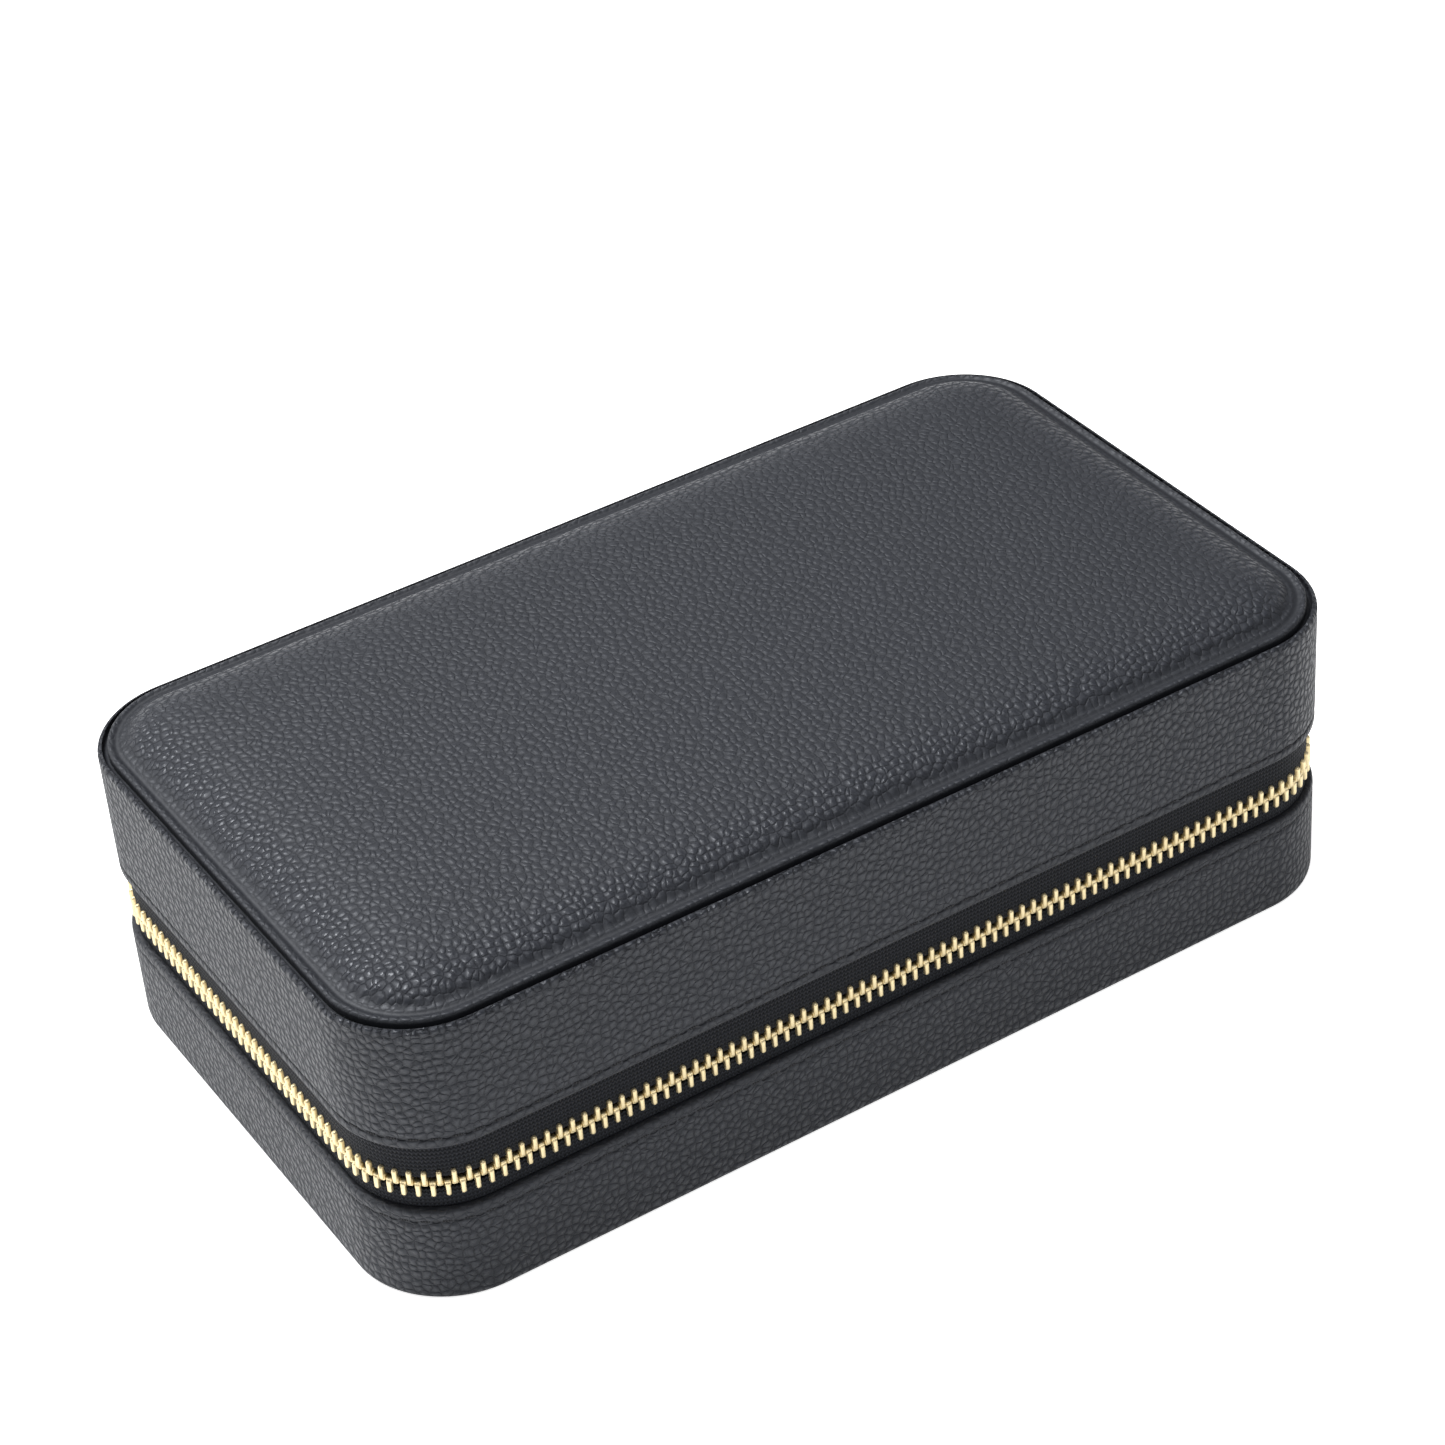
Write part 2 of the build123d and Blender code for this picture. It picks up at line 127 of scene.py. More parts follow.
class Finish:
    """One procedural material, built around a Principled shader."""

    def __init__(self, name, **constants):
        self.material = bpy.data.materials.new(name)
        self.material.use_nodes = True
        self.tree = self.material.node_tree
        self.shader = self.tree.nodes["Principled BSDF"]
        for socket, value in constants.items():
            self.shader.inputs[socket.replace("_", " ")].default_value = value

    def node(self, kind, settings=None, inputs=None, take=0):
        """Adds a node: its settings are set first, then its sockets' values or links."""
        made = self.tree.nodes.new(kind)
        for setting, value in (settings or {}).items():
            if setting == "stops":
                self.fill_ramp(made.color_ramp, value)
            else:
                setattr(made, setting, value)
        for socket, value in (inputs or {}).items():
            self.join(value, made.inputs[socket])
        return Wire(self, made.outputs[take])

    def fill_ramp(self, ramp, stops):
        while len(ramp.elements) < len(stops):
            ramp.elements.new(0.5)
        for element, (place, colour) in zip(ramp.elements, stops):
            element.position = place
            element.color = (*colour, 1)

    def join(self, value, socket):
        if isinstance(value, Wire):
            self.tree.links.new(value.socket, socket)
        else:
            socket.default_value = value

    def set(self, **sockets):
        """Feeds the shader's own sockets; an underscore stands for a space."""
        for name, value in sockets.items():
            self.join(value, self.shader.inputs[name.replace("_", " ")])

    def step(self, value, low, high):
        """0 below low, 1 above high, and smooth between them."""
        settings = {"interpolation_type": "SMOOTHSTEP"}
        return self.node("ShaderNodeMapRange", settings, {0: value, 1: low, 2: high})

    def colours(self, mask, first, second):
        """A colour between two, by a mask from 0 to 1."""
        inputs = {0: mask, 6: (*first, 1), 7: (*second, 1)}
        return self.node("ShaderNodeMix", {"data_type": "RGBA"}, inputs, take=2)

    def moved(self, place, shift, amount):
        """A place pushed about by a noise colour, for lines that wander."""
        kind = "ShaderNodeVectorMath"
        centred = self.node(kind, {"operation": "SUBTRACT"}, {0: shift, 1: (0.5, 0.5, 0.5)})
        scaled = self.node(kind, {"operation": "SCALE"}, {0: centred, 3: amount})
        return self.node(kind, {"operation": "ADD"}, {0: place, 1: scaled})

    def noise(self, place, size, detail=2.0, take="Fac"):
        inputs = {"Vector": place, "Scale": 1 / size, "Detail": detail}
        return self.node("ShaderNodeTexNoise", None, inputs, take)

    def attribute(self, name, take):
        return self.node("ShaderNodeAttribute", {"attribute_name": name}, None, take)

    def object_place(self):
        return self.node("ShaderNodeTexCoord", None, None, "Object")

    def split(self, vector):
        """A vector's first two numbers, as two wires."""
        parts = self.node("ShaderNodeSeparateXYZ", None, {0: vector}).socket.node
        return Wire(self, parts.outputs[0]), Wire(self, parts.outputs[1])

    def bumped(self, height, distance):
        """Feeds a height, in shares of a distance in metres, to the shader's normal."""
        normal = self.node("ShaderNodeBump", None, {"Height": height, "Distance": distance})
        self.set(Normal=normal)


# %% [markdown]
# ## Pebbled leather
#
# Pebbled leather is a hide pressed with rounded grains, about two millimetres across, with thin
# creases between them. Two Voronoi textures over the same cells give it: the smooth distance
# to a cell's middle is the grain's dome, and the distance to its edge is zero in a crease. The
# same dome and crease also paint the base colour darker in the creases and towards each grain's
# edge, which is painted crease shade; a slow noise adds an uneven tone of the hide. The cells
# are read in `lay`, a place on the skin as if it were unrolled, which every leather mesh below
# carries, so grains never stretch round a corner. A second attribute, `grain`, fades the pebbles
# where a turned edge presses them flat, and darkens the base colour there.

# %% The leather's finish
pebble_size = 1.62 * mm
stitch_hole = 0.42 * mm


def pebbled_leather(name, stitch_rows=(), relief_height=0.4 * mm):
    skin = Finish(name, Specular_IOR_Level=0.42, Specular_Tint=(0.91, 0.94, 1.0, 1))
    lay = skin.attribute("lay", "Vector")
    grain = skin.attribute("grain", "Fac")
    place = skin.moved(lay, skin.noise(lay, 2.6 * mm, take="Color"), 1.3 * mm)
    place = skin.moved(place, skin.noise(lay, 0.8 * mm, take="Color"), 0.45 * mm)
    cells = {"Vector": place, "Scale": 1 / pebble_size, "Randomness": 0.8}
    middle = {"feature": "SMOOTH_F1", "voronoi_dimensions": "2D"}
    away = skin.node("ShaderNodeTexVoronoi", middle, {**cells, "Smoothness": 0.2}, "Distance")
    dome = 1 - skin.step(away, 0.05, 0.62)
    edge = {"feature": "DISTANCE_TO_EDGE", "voronoi_dimensions": "2D"}
    crease = skin.step(skin.node("ShaderNodeTexVoronoi", edge, cells, "Distance"), 0.0, 0.16)
    swell = skin.noise(lay, 3.2 * mm)
    pores = skin.noise(lay, 0.2 * mm, detail=3)
    slow = skin.noise(lay, 22 * mm)
    height = dome * 0.66 + crease * 0.34
    relief = height * grain + swell * grain * 0.45 + pores * 0.05
    for row_height, pitch in stitch_rows:
        u, v = skin.split(lay)
        along = ((u / pitch).math("FRACT") - 0.5) * pitch * 0.45
        across = v - row_height
        far = (along * along + across * across).math("SQRT")
        hole = 1 - skin.step(far, 0.16 * mm, stitch_hole)
        relief = relief - hole * 1.4
        # Painted shade in the stitch holes: zero height there darkens the base colour.
        height = height * (1 - hole)
    # Painted crease shade: the base colour follows the grains' height, so creases and grain edges are
    # darker; a slow noise adds random tone, and low grain darkens it.
    tone_and_crease_shade = (height * 0.7 + slow * 0.3) * grain
    skin.set(Base_Color=skin.colours(tone_and_crease_shade, (0.0068, 0.0078, 0.0108), (0.0155, 0.0172, 0.0228)))
    skin.set(Roughness=0.56 + grain * 0.13 - height * grain * 0.25 + pores * 0.06)
    skin.bumped(relief, relief_height)
    return skin.material


stitch_pitch = 3.9 * mm
lid_stitch_height = lid_edge + 2.4 * mm
base_stitch_height = base_edge - 2.4 * mm
finishes = {
    "lid_side": pebbled_leather("lid_side_leather", [(lid_stitch_height, stitch_pitch)]),
    "base_side": pebbled_leather("base_side_leather", [(base_stitch_height, stitch_pitch)]),
    "top": pebbled_leather("top_leather", relief_height=0.17 * mm),
    "plain": pebbled_leather("plain_leather"),
}
print("leathers:", sorted(finishes))

# %% [markdown]
# ## The other finishes
#
# The zip is pale gold metal on black woven tape. Inside, the case is lined with a short suede, and
# the ring rolls are velvet. Cloth is mostly rough colour with a fine bump; the tape's weave comes
# from two crossing sine waves along and across its length.

# %% Metal, cloth, board, foam and mirror
def gold_metal():
    metal = Finish("pale_gold", Metallic=1.0)
    place = metal.object_place()
    cloud = metal.noise(place, 1.5 * mm)
    metal.set(Base_Color=metal.colours(cloud, (0.66, 0.54, 0.31), (0.77, 0.665, 0.43)))
    metal.set(Roughness=0.38 + metal.noise(place, 0.5 * mm) * 0.16)
    metal.bumped(metal.noise(place, 0.3 * mm), 0.02 * mm)
    return metal.material


def woven(name, dark, light, across=0.9 * mm, along=0.75 * mm):
    cloth = Finish(name, Specular_IOR_Level=0.2)
    u, v = cloth.split(cloth.attribute("lay", "Vector"))
    ribs = (v * (2 * math.pi / across) + (u * (2 * math.pi / along)).math("SINE") * 1.2).math("SINE")
    warp = (u * (2 * math.pi / along)).math("SINE")
    weave = ribs * 0.35 + warp * 0.2 + 0.5
    cloth.set(Base_Color=cloth.colours(weave, dark, light))
    cloth.set(Roughness=0.85 - weave * 0.15)
    cloth.bumped(weave, 0.25 * mm)
    return cloth.material


def pile(name, dark, light, nap=0.35 * mm):
    cloth = Finish(name, Specular_IOR_Level=0.2, Sheen_Weight=0.35, Sheen_Roughness=0.5)
    place = cloth.object_place()
    nap_height = cloth.noise(place, nap, detail=3)
    brushed = cloth.noise(place, 14 * mm)
    cloth.set(Base_Color=cloth.colours(nap_height * 0.6 + brushed * 0.4, dark, light))
    cloth.set(Roughness=0.8 + nap_height * 0.15)
    cloth.bumped(nap_height, 0.12 * mm)
    return cloth.material


def grey_board():
    board = Finish("grey_board")
    place = board.object_place()
    fibres = board.noise(place, 0.8 * mm, detail=5)
    board.set(Base_Color=board.colours(fibres, (0.20, 0.17, 0.13), (0.34, 0.30, 0.24)))
    board.set(Roughness=0.8 + fibres * 0.15)
    board.bumped(fibres, 0.05 * mm)
    return board.material


def mirror_finish():
    glass = Finish("mirror_glass", Metallic=1.0)
    smear = glass.noise(glass.object_place(), 18 * mm, detail=3)
    glass.set(Base_Color=glass.colours(smear, (0.86, 0.88, 0.88), (0.90, 0.92, 0.92)))
    glass.set(Roughness=0.01 + glass.step(smear, 0.45, 0.8) * 0.03)
    return glass.material


finishes["gold"] = gold_metal()
finishes["tape"] = woven("zip_tape", (0.0018, 0.0022, 0.0035), (0.012, 0.014, 0.019))
finishes["ribbon"] = woven("pull_ribbon", (0.008, 0.008, 0.01), (0.03, 0.03, 0.034), 0.8 * mm)
finishes["thread"] = woven("thread", (0.012, 0.012, 0.014), (0.045, 0.046, 0.05), 0.3 * mm, 0.5 * mm)
finishes["suede"] = pile("suede_lining", (0.075, 0.072, 0.075), (0.135, 0.13, 0.133))
finishes["velvet"] = pile("ring_velvet", (0.085, 0.082, 0.086), (0.17, 0.165, 0.17), 0.25 * mm)
finishes["foam"] = pile("foam", (0.5, 0.49, 0.44), (0.72, 0.7, 0.64), 0.7 * mm)
finishes["board"] = grey_board()
finishes["mirror"] = mirror_finish()
print("finishes:", len(finishes))

# %% [markdown]
# ## Outlines and skins
#
# Nearly everything on the case runs round one rounded rectangle. `rounded_outline` gives it as
# columns: a point, its outward direction and how far along it lies. `skin_round` then carries a
# profile, a line drawn in inset and height, along the columns. This is what a maker does with a
# strip of leather, and it gives clean four-sided faces, which plain extruding would not.

# %% Outline of the case
def corner_arcs(half_x, half_y, radii, corner_steps, middle=(0, 0)):
    """Each corner's points, as (x, y, outward x, outward y).

    radii are the corners' radii in the order back left, front left, front right, back right.
    """
    arcs = []
    corners = [(-1, 1, 90), (-1, -1, 180), (1, -1, 270), (1, 1, 0)]
    for (sign_x, sign_y, first), radius in zip(corners, radii):
        centre_x = middle[0] + sign_x * (half_x - radius)
        centre_y = middle[1] + sign_y * (half_y - radius)
        arc = []
        for step in range(corner_steps + 1):
            angle = math.radians(first + 90 * step / corner_steps)
            out_x, out_y = math.cos(angle), math.sin(angle)
            arc.append((centre_x + radius * out_x, centre_y + radius * out_y, out_x, out_y))
        arcs.append(arc)
    return arcs


def rounded_outline(half_x, half_y, radii, middle=(0, 0), corner_steps=22, side_step=4 * mm):
    """Columns (x, y, outward x, outward y, run) round a rectangle, from the middle of its back."""
    points = sum(corner_arcs(half_x, half_y, radii, corner_steps, middle), [])
    back_middle = (0.5 * (points[0][0] + points[-1][0]), middle[1] + half_y, 0.0, 1.0)
    line = [back_middle] + points + [back_middle]
    columns = []
    run = 0.0
    for before, after in zip(line, line[1:]):
        length = math.hypot(after[0] - before[0], after[1] - before[1])
        pieces = max(1, round(length / side_step))
        for piece in range(pieces):
            share = piece / pieces
            mixed = [a + (b - a) * share for a, b in zip(before, after)]
            columns.append((*mixed, run + length * share))
        run += length
    columns.append((*back_middle, run))
    return np.array(columns)


case_line = rounded_outline(half_length, half_depth, [corner_radius] * 4)
case_round = case_line[-1, 4]
print(f"{len(case_line)} columns, {case_round / mm:.0f} mm round")

# %% Meshes with the lay and grain attributes
def make_piece(name, points, faces, finish, lay=None, grain=None, smooth=True):
    mesh = bpy.data.meshes.new(name)
    mesh.from_pydata([tuple(p) for p in points], [], [tuple(f) for f in faces])
    if lay is not None:
        spread = mesh.attributes.new("lay", "FLOAT_VECTOR", "POINT")
        spread.data.foreach_set("vector", np.asarray(lay, np.float32).ravel())
    if grain is not None:
        fade = mesh.attributes.new("grain", "FLOAT", "POINT")
        fade.data.foreach_set("value", np.asarray(grain, np.float32).ravel())
    mesh.materials.append(finishes[finish])
    shape = bmesh.new()
    shape.from_mesh(mesh)
    bmesh.ops.recalc_face_normals(shape, faces=shape.faces)
    shape.to_mesh(mesh)
    shape.free()
    for polygon in mesh.polygons:
        polygon.use_smooth = smooth
    piece = bpy.data.objects.new(name, mesh)
    bpy.context.scene.collection.objects.link(piece)
    return piece


def settle(piece, body, slot, *replaced):
    """Hands a finished piece to its body and hides the CAD nodes it stands for; slot is not used."""
    if body is not None:
        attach(piece, body)
    if replaced:
        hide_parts(*replaced)
    print(piece.name, len(piece.data.vertices), "points")
    return piece


def skin_round(name, columns, profile, finish, anchor=0.0, shift=None):
    """Carries a closed profile of (inset, height, grain) along the columns.

    anchor is the height that lay's second number has at the profile's first point. shift, if
    given, is called with a column and a profile point, and may move that point.
    """
    rows = len(profile)
    points, lay, grain = [], [], []
    rise = [anchor]
    for before, after in zip(profile, profile[1:]):
        rise.append(rise[-1] + math.hypot(after[0] - before[0], after[1] - before[1]))
    for x, y, out_x, out_y, run in columns:
        for (inset, height, fade), up in zip(profile, rise):
            if shift is not None:
                height = shift((x, y, run), (inset, height))
            points.append((x - out_x * inset, y - out_y * inset, height))
            lay.append((run, up, 0))
            grain.append(fade)
    faces = []
    for column in range(len(columns) - 1):
        for row in range(rows):
            here, over = column * rows, (column + 1) * rows
            above = (row + 1) % rows
            faces.append((here + row, over + row, over + above, here + above))
    if not np.allclose(columns[0][:2], columns[-1][:2]):
        last = (len(columns) - 1) * rows
        faces.append(tuple(range(rows)))
        faces.append(tuple(last + row for row in reversed(range(rows))))
    return make_piece(name, points, faces, finish, lay, grain)


def rounded(points, times=2):
    """Cuts the corners of an open profile, which rounds it and keeps its ends."""
    line = np.array(points, float)
    for _ in range(times):
        near = 0.75 * line[:-1] + 0.25 * line[1:]
        far = 0.25 * line[:-1] + 0.75 * line[1:]
        cut = np.stack([near, far], axis=1).reshape(-1, line.shape[1])
        line = np.vstack([line[:1], cut[1:-1], line[-1:]])
    return [tuple(p) for p in line]


# %% [markdown]
# ## The side leathers
#
# The lid's side is one strip of leather. Its lower edge is turned and stitched just above the zip,
# and its upper edge rolls over the rim into the seam round the top panel. The base's side is the
# same strip the other way up, with a crisp turn under the case. Each profile is a handful of points
# whose corners are then rounded; the edge along the seam is a true quarter circle.

# %% Side strip of the lid
shoulder = 0.95 * mm
seam_floor = rim - 1.35 * mm
deep, full, soft, worn, flat = 1.8, 1.0, 0.7, 0.45, 0.1
channel = 0.25 * mm


def shoulder_arc(steps=7):
    arc = []
    for step in range(steps + 1):
        angle = math.pi / 2 * step / steps
        inset = shoulder * (1 - math.cos(angle))
        arc.append((inset, rim - shoulder * (1 - math.sin(angle)), deep))
    return arc


def strip_heights(low, high, spacing=4 * mm):
    """Evenly spaced points of the flat face between two heights."""
    count = max(2, round((high - low) / spacing))
    return [(0.0, low + (high - low) * i / count, full) for i in range(count + 1)]


lid_hem = [
    (leather - 0.1 * mm, lid_edge + 0.25 * mm, flat),
    (1.2 * mm, lid_edge, flat),
    (0.4 * mm, lid_edge + 0.1 * mm, worn),
    (0.0, lid_edge + 0.6 * mm, worn),
    (0.0, lid_stitch_height - 0.6 * mm, soft),
    (channel, lid_stitch_height, worn),
    (0.0, lid_stitch_height + 0.6 * mm, soft),
]
lid_roll = [
    (shoulder + 0.1 * mm, rim - 0.15 * mm, soft),
    (shoulder + 0.2 * mm, seam_floor + 0.6 * mm, flat),
    (shoulder + 0.45 * mm, seam_floor + 0.2 * mm, flat),
    (shoulder + 1.6 * mm, seam_floor + 0.2 * mm, flat),
    (shoulder + 1.6 * mm, seam_floor, flat),
]
lid_profile = rounded(lid_hem) + strip_heights(lid_stitch_height + 1.5 * mm, rim - shoulder - 0.2 * mm)
lid_profile += rounded(shoulder_arc() + lid_roll, 1)
hem_length = sum(math.dist(a[:2], b[:2]) for a, b in zip(rounded(lid_hem), rounded(lid_hem)[1:]))
lid_profile += [(leather, seam_floor, flat), (leather, lid_edge + 0.5 * mm, flat)]
lid_anchor = lid_stitch_height + 0.6 * mm - hem_length
lid_side = skin_round("lid_side_strip", case_line, lid_profile, "lid_side", lid_anchor)
settle(lid_side, "lid", "leather", "lid_side_leather")

# %% Side strip of the base
base_hem = [
    (leather, 0.0, flat),
    (0.9 * mm, 0.0, worn),
    (0.15 * mm, 0.05 * mm, soft),
    (0.0, 0.9 * mm, full),
]
base_top = [
    (0.0, base_stitch_height - 0.6 * mm, soft),
    (0.6 * channel, base_stitch_height, worn),
    (0.0, base_stitch_height + 0.6 * mm, soft),
    (0.0, base_edge - 0.6 * mm, worn),
    (0.4 * mm, base_edge - 0.1 * mm, worn),
    (1.2 * mm, base_edge, flat),
    (leather - 0.1 * mm, base_edge - 0.25 * mm, flat),
]
base_profile = rounded(base_hem) + strip_heights(1.4 * mm, base_stitch_height - 1.5 * mm)
base_profile += rounded(base_top) + [(leather, base_edge - 0.6 * mm, flat)]
base_turn = sum(math.dist(a[:2], b[:2]) for a, b in zip(rounded(base_hem), rounded(base_hem)[1:]))
base_side = skin_round("base_side_strip", case_line, base_profile, "base_side", 0.9 * mm - base_turn)
settle(base_side, "base", "leather", "base_side_leather")

# %% [markdown]
# ## The padded top panel
#
# The top panel is a cushion: leather over foam, with a narrow pressed border all round. A flat
# border cannot come from a grid laid over the lid, because its corners would be jagged, so the
# panel is made of rings. Each ring is the case's outline at an inset, and its height follows the
# panel's cross-section. The first and last rings are closed with one face, where it is level.

# %% Rings for round panels
ring_corner_steps = 16
ring_side_steps = (16, 28)


def case_shape(inset):
    """The case's outline at an inset: half sizes and the four radii."""
    radius = max(corner_radius - inset, 5 * mm)
    return half_length - inset, half_depth - inset, [radius] * 4


def ring_line(half_x, half_y, radii, middle=(0, 0)):
    """Points round a rectangle, as many at every inset: corner points and even steps between."""
    arcs = corner_arcs(half_x, half_y, radii, ring_corner_steps, middle)
    line = []
    for index, arc in enumerate(arcs):
        line.extend(point[:2] for point in arc)
        start, end = arc[-1][:2], arcs[(index + 1) % 4][0][:2]
        steps = ring_side_steps[index % 2]
        for step in range(1, steps):
            line.append(tuple(a + (b - a) * step / steps for a, b in zip(start, end)))
    return line


def ring_panel(name, rings, finish, shape=case_shape):
    """Joins rings of (inset, height, grain); the first and last rings are closed with a face."""
    points, lay, grain = [], [], []
    for inset, height, fade in rings:
        for x, y in ring_line(*shape(inset)):
            points.append((x, y, height))
            lay.append((x, y, 0))
            grain.append(fade)
    count = len(points) // len(rings)
    faces = []
    for row in range(len(rings) - 1):
        here, over = row * count, (row + 1) * count
        for i in range(count):
            j = (i + 1) % count
            faces.append((here + i, here + j, over + j, over + i))
    last = (len(rings) - 1) * count
    faces.append(tuple(last + i for i in range(count)))
    faces.append(tuple(reversed(range(count))))
    return make_piece(name, points, faces, finish, lay, grain)

# %% [markdown]
# The cross-section starts deep in the seam, turns over a narrow rounded crest, dips where the
# leather is pressed down beside it, and then climbs over the foam in one soft curve. Its points
# are insets and heights over the rim in millimetres, and how much grain is left there.

# %% Top panel and its foam
panel_section = [
    (1.95, -1.1, flat),
    (1.95, -0.3, flat),
    (2.0, 0.35, worn),
    (2.25, 0.75, full),
    (2.8, 0.8, full),
    (3.5, 0.5, flat),
    (4.1, 0.55, flat),
    (4.7, 0.85, soft),
    (5.3, 0.9, soft),
    (6.0, 1.4, full),
    (6.9, 2.15, deep),
    (8.5, 2.9, deep),
    (10.9, 3.62, deep),
    (14.8, 4.32, full),
    (20.2, 4.78, full),
    (30.0, 5.03, full),
    (42.0, 5.1, full),
    (52.0, 5.1, full),
]
panel_top = [(i * mm, rim + h * mm, g) for i, h, g in rounded(panel_section)]
leather_skin = 1.2 * mm
panel_foot = rim - 1.1 * mm
skin_inset = 3.1 * mm
panel_under = []
for inset, height, fade in reversed(panel_top):
    panel_under.append((max(inset, skin_inset), max(height - leather_skin, panel_foot), fade))
top_panel = ring_panel("top_panel", panel_under + panel_top, "top")
settle(top_panel, "lid", "leather", "lid_top_leather")

foam_gap = leather_skin + 0.05 * mm
foam_inset = 3.2 * mm
foam_rings = [(50 * mm, seam_floor, 0), (foam_inset, seam_floor, 0)]
for inset, height, fade in panel_top:
    if height - foam_gap > seam_floor:
        foam_rings.append((max(inset, foam_inset), height - foam_gap, fade))
top_foam = ring_panel("top_foam", foam_rings, "foam")
settle(top_foam, "lid", "foam", "lid_top_foam")

# %% Bottom panel
bottom_section = [
    (2.0, 1.15, flat),
    (2.0, 0.5, flat),
    (2.3, 0.05, soft),
    (3.2, 0.0, full),
    (40.0, 0.0, full),
]
bottom_rings = [(i * mm, h * mm, g) for i, h, g in rounded(bottom_section)]
bottom_rings = [(40 * mm, 1.15 * mm, flat)] + bottom_rings
bottom_panel = ring_panel("bottom_panel", bottom_rings, "plain")
settle(bottom_panel, "base", "leather", "base_bottom_leather")

# %% [markdown]
# ## Stitches
#
# A lock stitch shows as a short stretch of thread that dives into a hole at each end. The holes
# are in the leather's finish, at the same pitch, as a dent in the bump with painted shade in its
# colour; the thread is real geometry. One stitch is a small lofted capsule that sags into the
# holes, and it is repeated along the strip.

# %% Lofts, and rows of stitches
def loft(sections, sides=8):
    """Points and faces of a closed tube through sections (centre, half width, half height).

    Each section lies across local X; its width is along Y and its height along Z.
    """
    points, faces = [], []
    for (x, y, z), wide, high in sections:
        for side in range(sides):
            angle = 2 * math.pi * side / sides
            points.append((x, y + wide * math.cos(angle), z + high * math.sin(angle)))
    for row in range(len(sections) - 1):
        for side in range(sides):
            after = (side + 1) % sides
            here, over = row * sides, (row + 1) * sides
            faces.append((here + side, here + after, over + after, over + side))
    last = (len(sections) - 1) * sides
    faces.append(tuple(reversed(range(sides))))
    faces.append(tuple(last + side for side in range(sides)))
    return points, faces


def place_copies(name, points, faces, places, finish):
    """One mesh of many copies; each place is a matrix."""
    all_points, all_faces, lay = [], [], []
    local = np.array(points)
    for number, matrix in enumerate(places):
        rotation = np.array(matrix.to_3x3())
        moved = local @ rotation.T + np.array(matrix.translation)
        start = number * len(points)
        all_points.extend(map(tuple, moved))
        all_faces.extend(tuple(start + corner for corner in face) for face in faces)
        lay.extend((p[0], p[1] + p[2], 0) for p in points)
    return make_piece(name, all_points, all_faces, finish, lay)


def place_on(columns, distance, height, inset=0.0):
    """A frame on an outline: local X runs along it, local Y points out and Z is up."""
    runs = columns[:, 4]
    index = min(int(np.searchsorted(runs, distance, side="right")) - 1, len(runs) - 2)
    share = (distance - runs[index]) / (runs[index + 1] - runs[index])
    x, y, out_x, out_y, _ = columns[index] * (1 - share) + columns[index + 1] * share
    out = Vector((out_x, out_y, 0)).normalized()
    along = Vector((-out.y, out.x, 0))
    place = Vector((x, y, height)) - out * inset
    matrix = Matrix((along, out, Vector((0, 0, 1)))).transposed().to_4x4()
    matrix.translation = place
    return matrix


thread = 0.26 * mm
half_stitch = 1.3 * mm
stitch_sections = []
for share in (-1.0, -0.86, -0.6, -0.2, 0.2, 0.6, 0.86, 1.0):
    sag = 0.45 * mm * max(0.0, abs(share) - 0.5) ** 1.5
    thin = 0.6 if abs(share) == 1.0 else 1.0
    centre = (share * half_stitch, 0.05 * mm - 3 * sag, 0.0)
    stitch_sections.append((centre, thread * thin * 0.8, thread * thin))


def stitch_row(name, body, height):
    points, faces = loft(stitch_sections)
    count = round(case_round / stitch_pitch)
    middles = [stitch_pitch * (i + 1.0) for i in range(count - 1)]
    places = [place_on(case_line, middle, height, channel) for middle in middles]
    row = place_copies(name, points, faces, places, "thread")
    return settle(row, body, "leather")


stitch_row("lid_edge_stitches", "lid", lid_stitch_height)
stitch_row("base_edge_stitches", "base", base_stitch_height)

# %% [markdown]
# ## The zip
#
# Two woven tapes are sewn behind the leather edges, and each carries a row of metal teeth clamped
# on its inner edge. The rows stand half a pitch apart, so each tooth's head fills the gap between
# two heads of the other row. Every tooth is two small lofts in one: a bar clamped on the tape, and
# a wider, flatter head that reaches just past the middle of the chain.

# %% The chain's line
tape_middle = 1.7 * mm
tape_half = 0.3 * mm
spine_half = 58 * mm
zip_end = 59.5 * mm
tooth_pitch = 2.53 * mm
stop_length = 2.2 * mm
chain_start = stop_length + tooth_pitch / 2
slider_length = 10.5 * mm
slider_gap = 2.0 * mm
chain_spread = 1.5 * mm
post_length = 2.0 * mm
post_clearance = 1.0 * mm
chain_line = rounded_outline(
    half_length - tape_middle, half_depth - tape_middle, [corner_radius - tape_middle] * 4
)
chain_offset = zip_end
chain_length = chain_line[-1, 4] - 2 * zip_end
tooth_count = int((chain_length - 2 * chain_start) / tooth_pitch)
side_x = half_length - tape_middle
print(f"chain {chain_length / mm:.1f} mm, {tooth_count} teeth a row")


def spread_at(x, y):
    """How far a row stands off the chain's middle: only between the two sliders."""
    if x < side_x - tape_half:
        return 0.0
    closed = (slider_gap + slider_length) / 2
    parted = slider_gap / 2 + post_length + post_clearance
    part = (closed - abs(y)) / (closed - parted)
    return chain_spread * min(max(part, 0.0), 1.0)


# %% Zip teeth
def squared_loft(levels, power):
    """A loft along Z with rounded square sections: levels of (z, half along, half depth) in mm."""
    sections = [((z * mm, 0, 0), half_x * mm, half_y * mm) for z, half_x, half_y in levels]
    points, faces = loft(sections, sides=12)
    return square_up([(x, y, z) for z, x, y in points], levels, power=power), faces


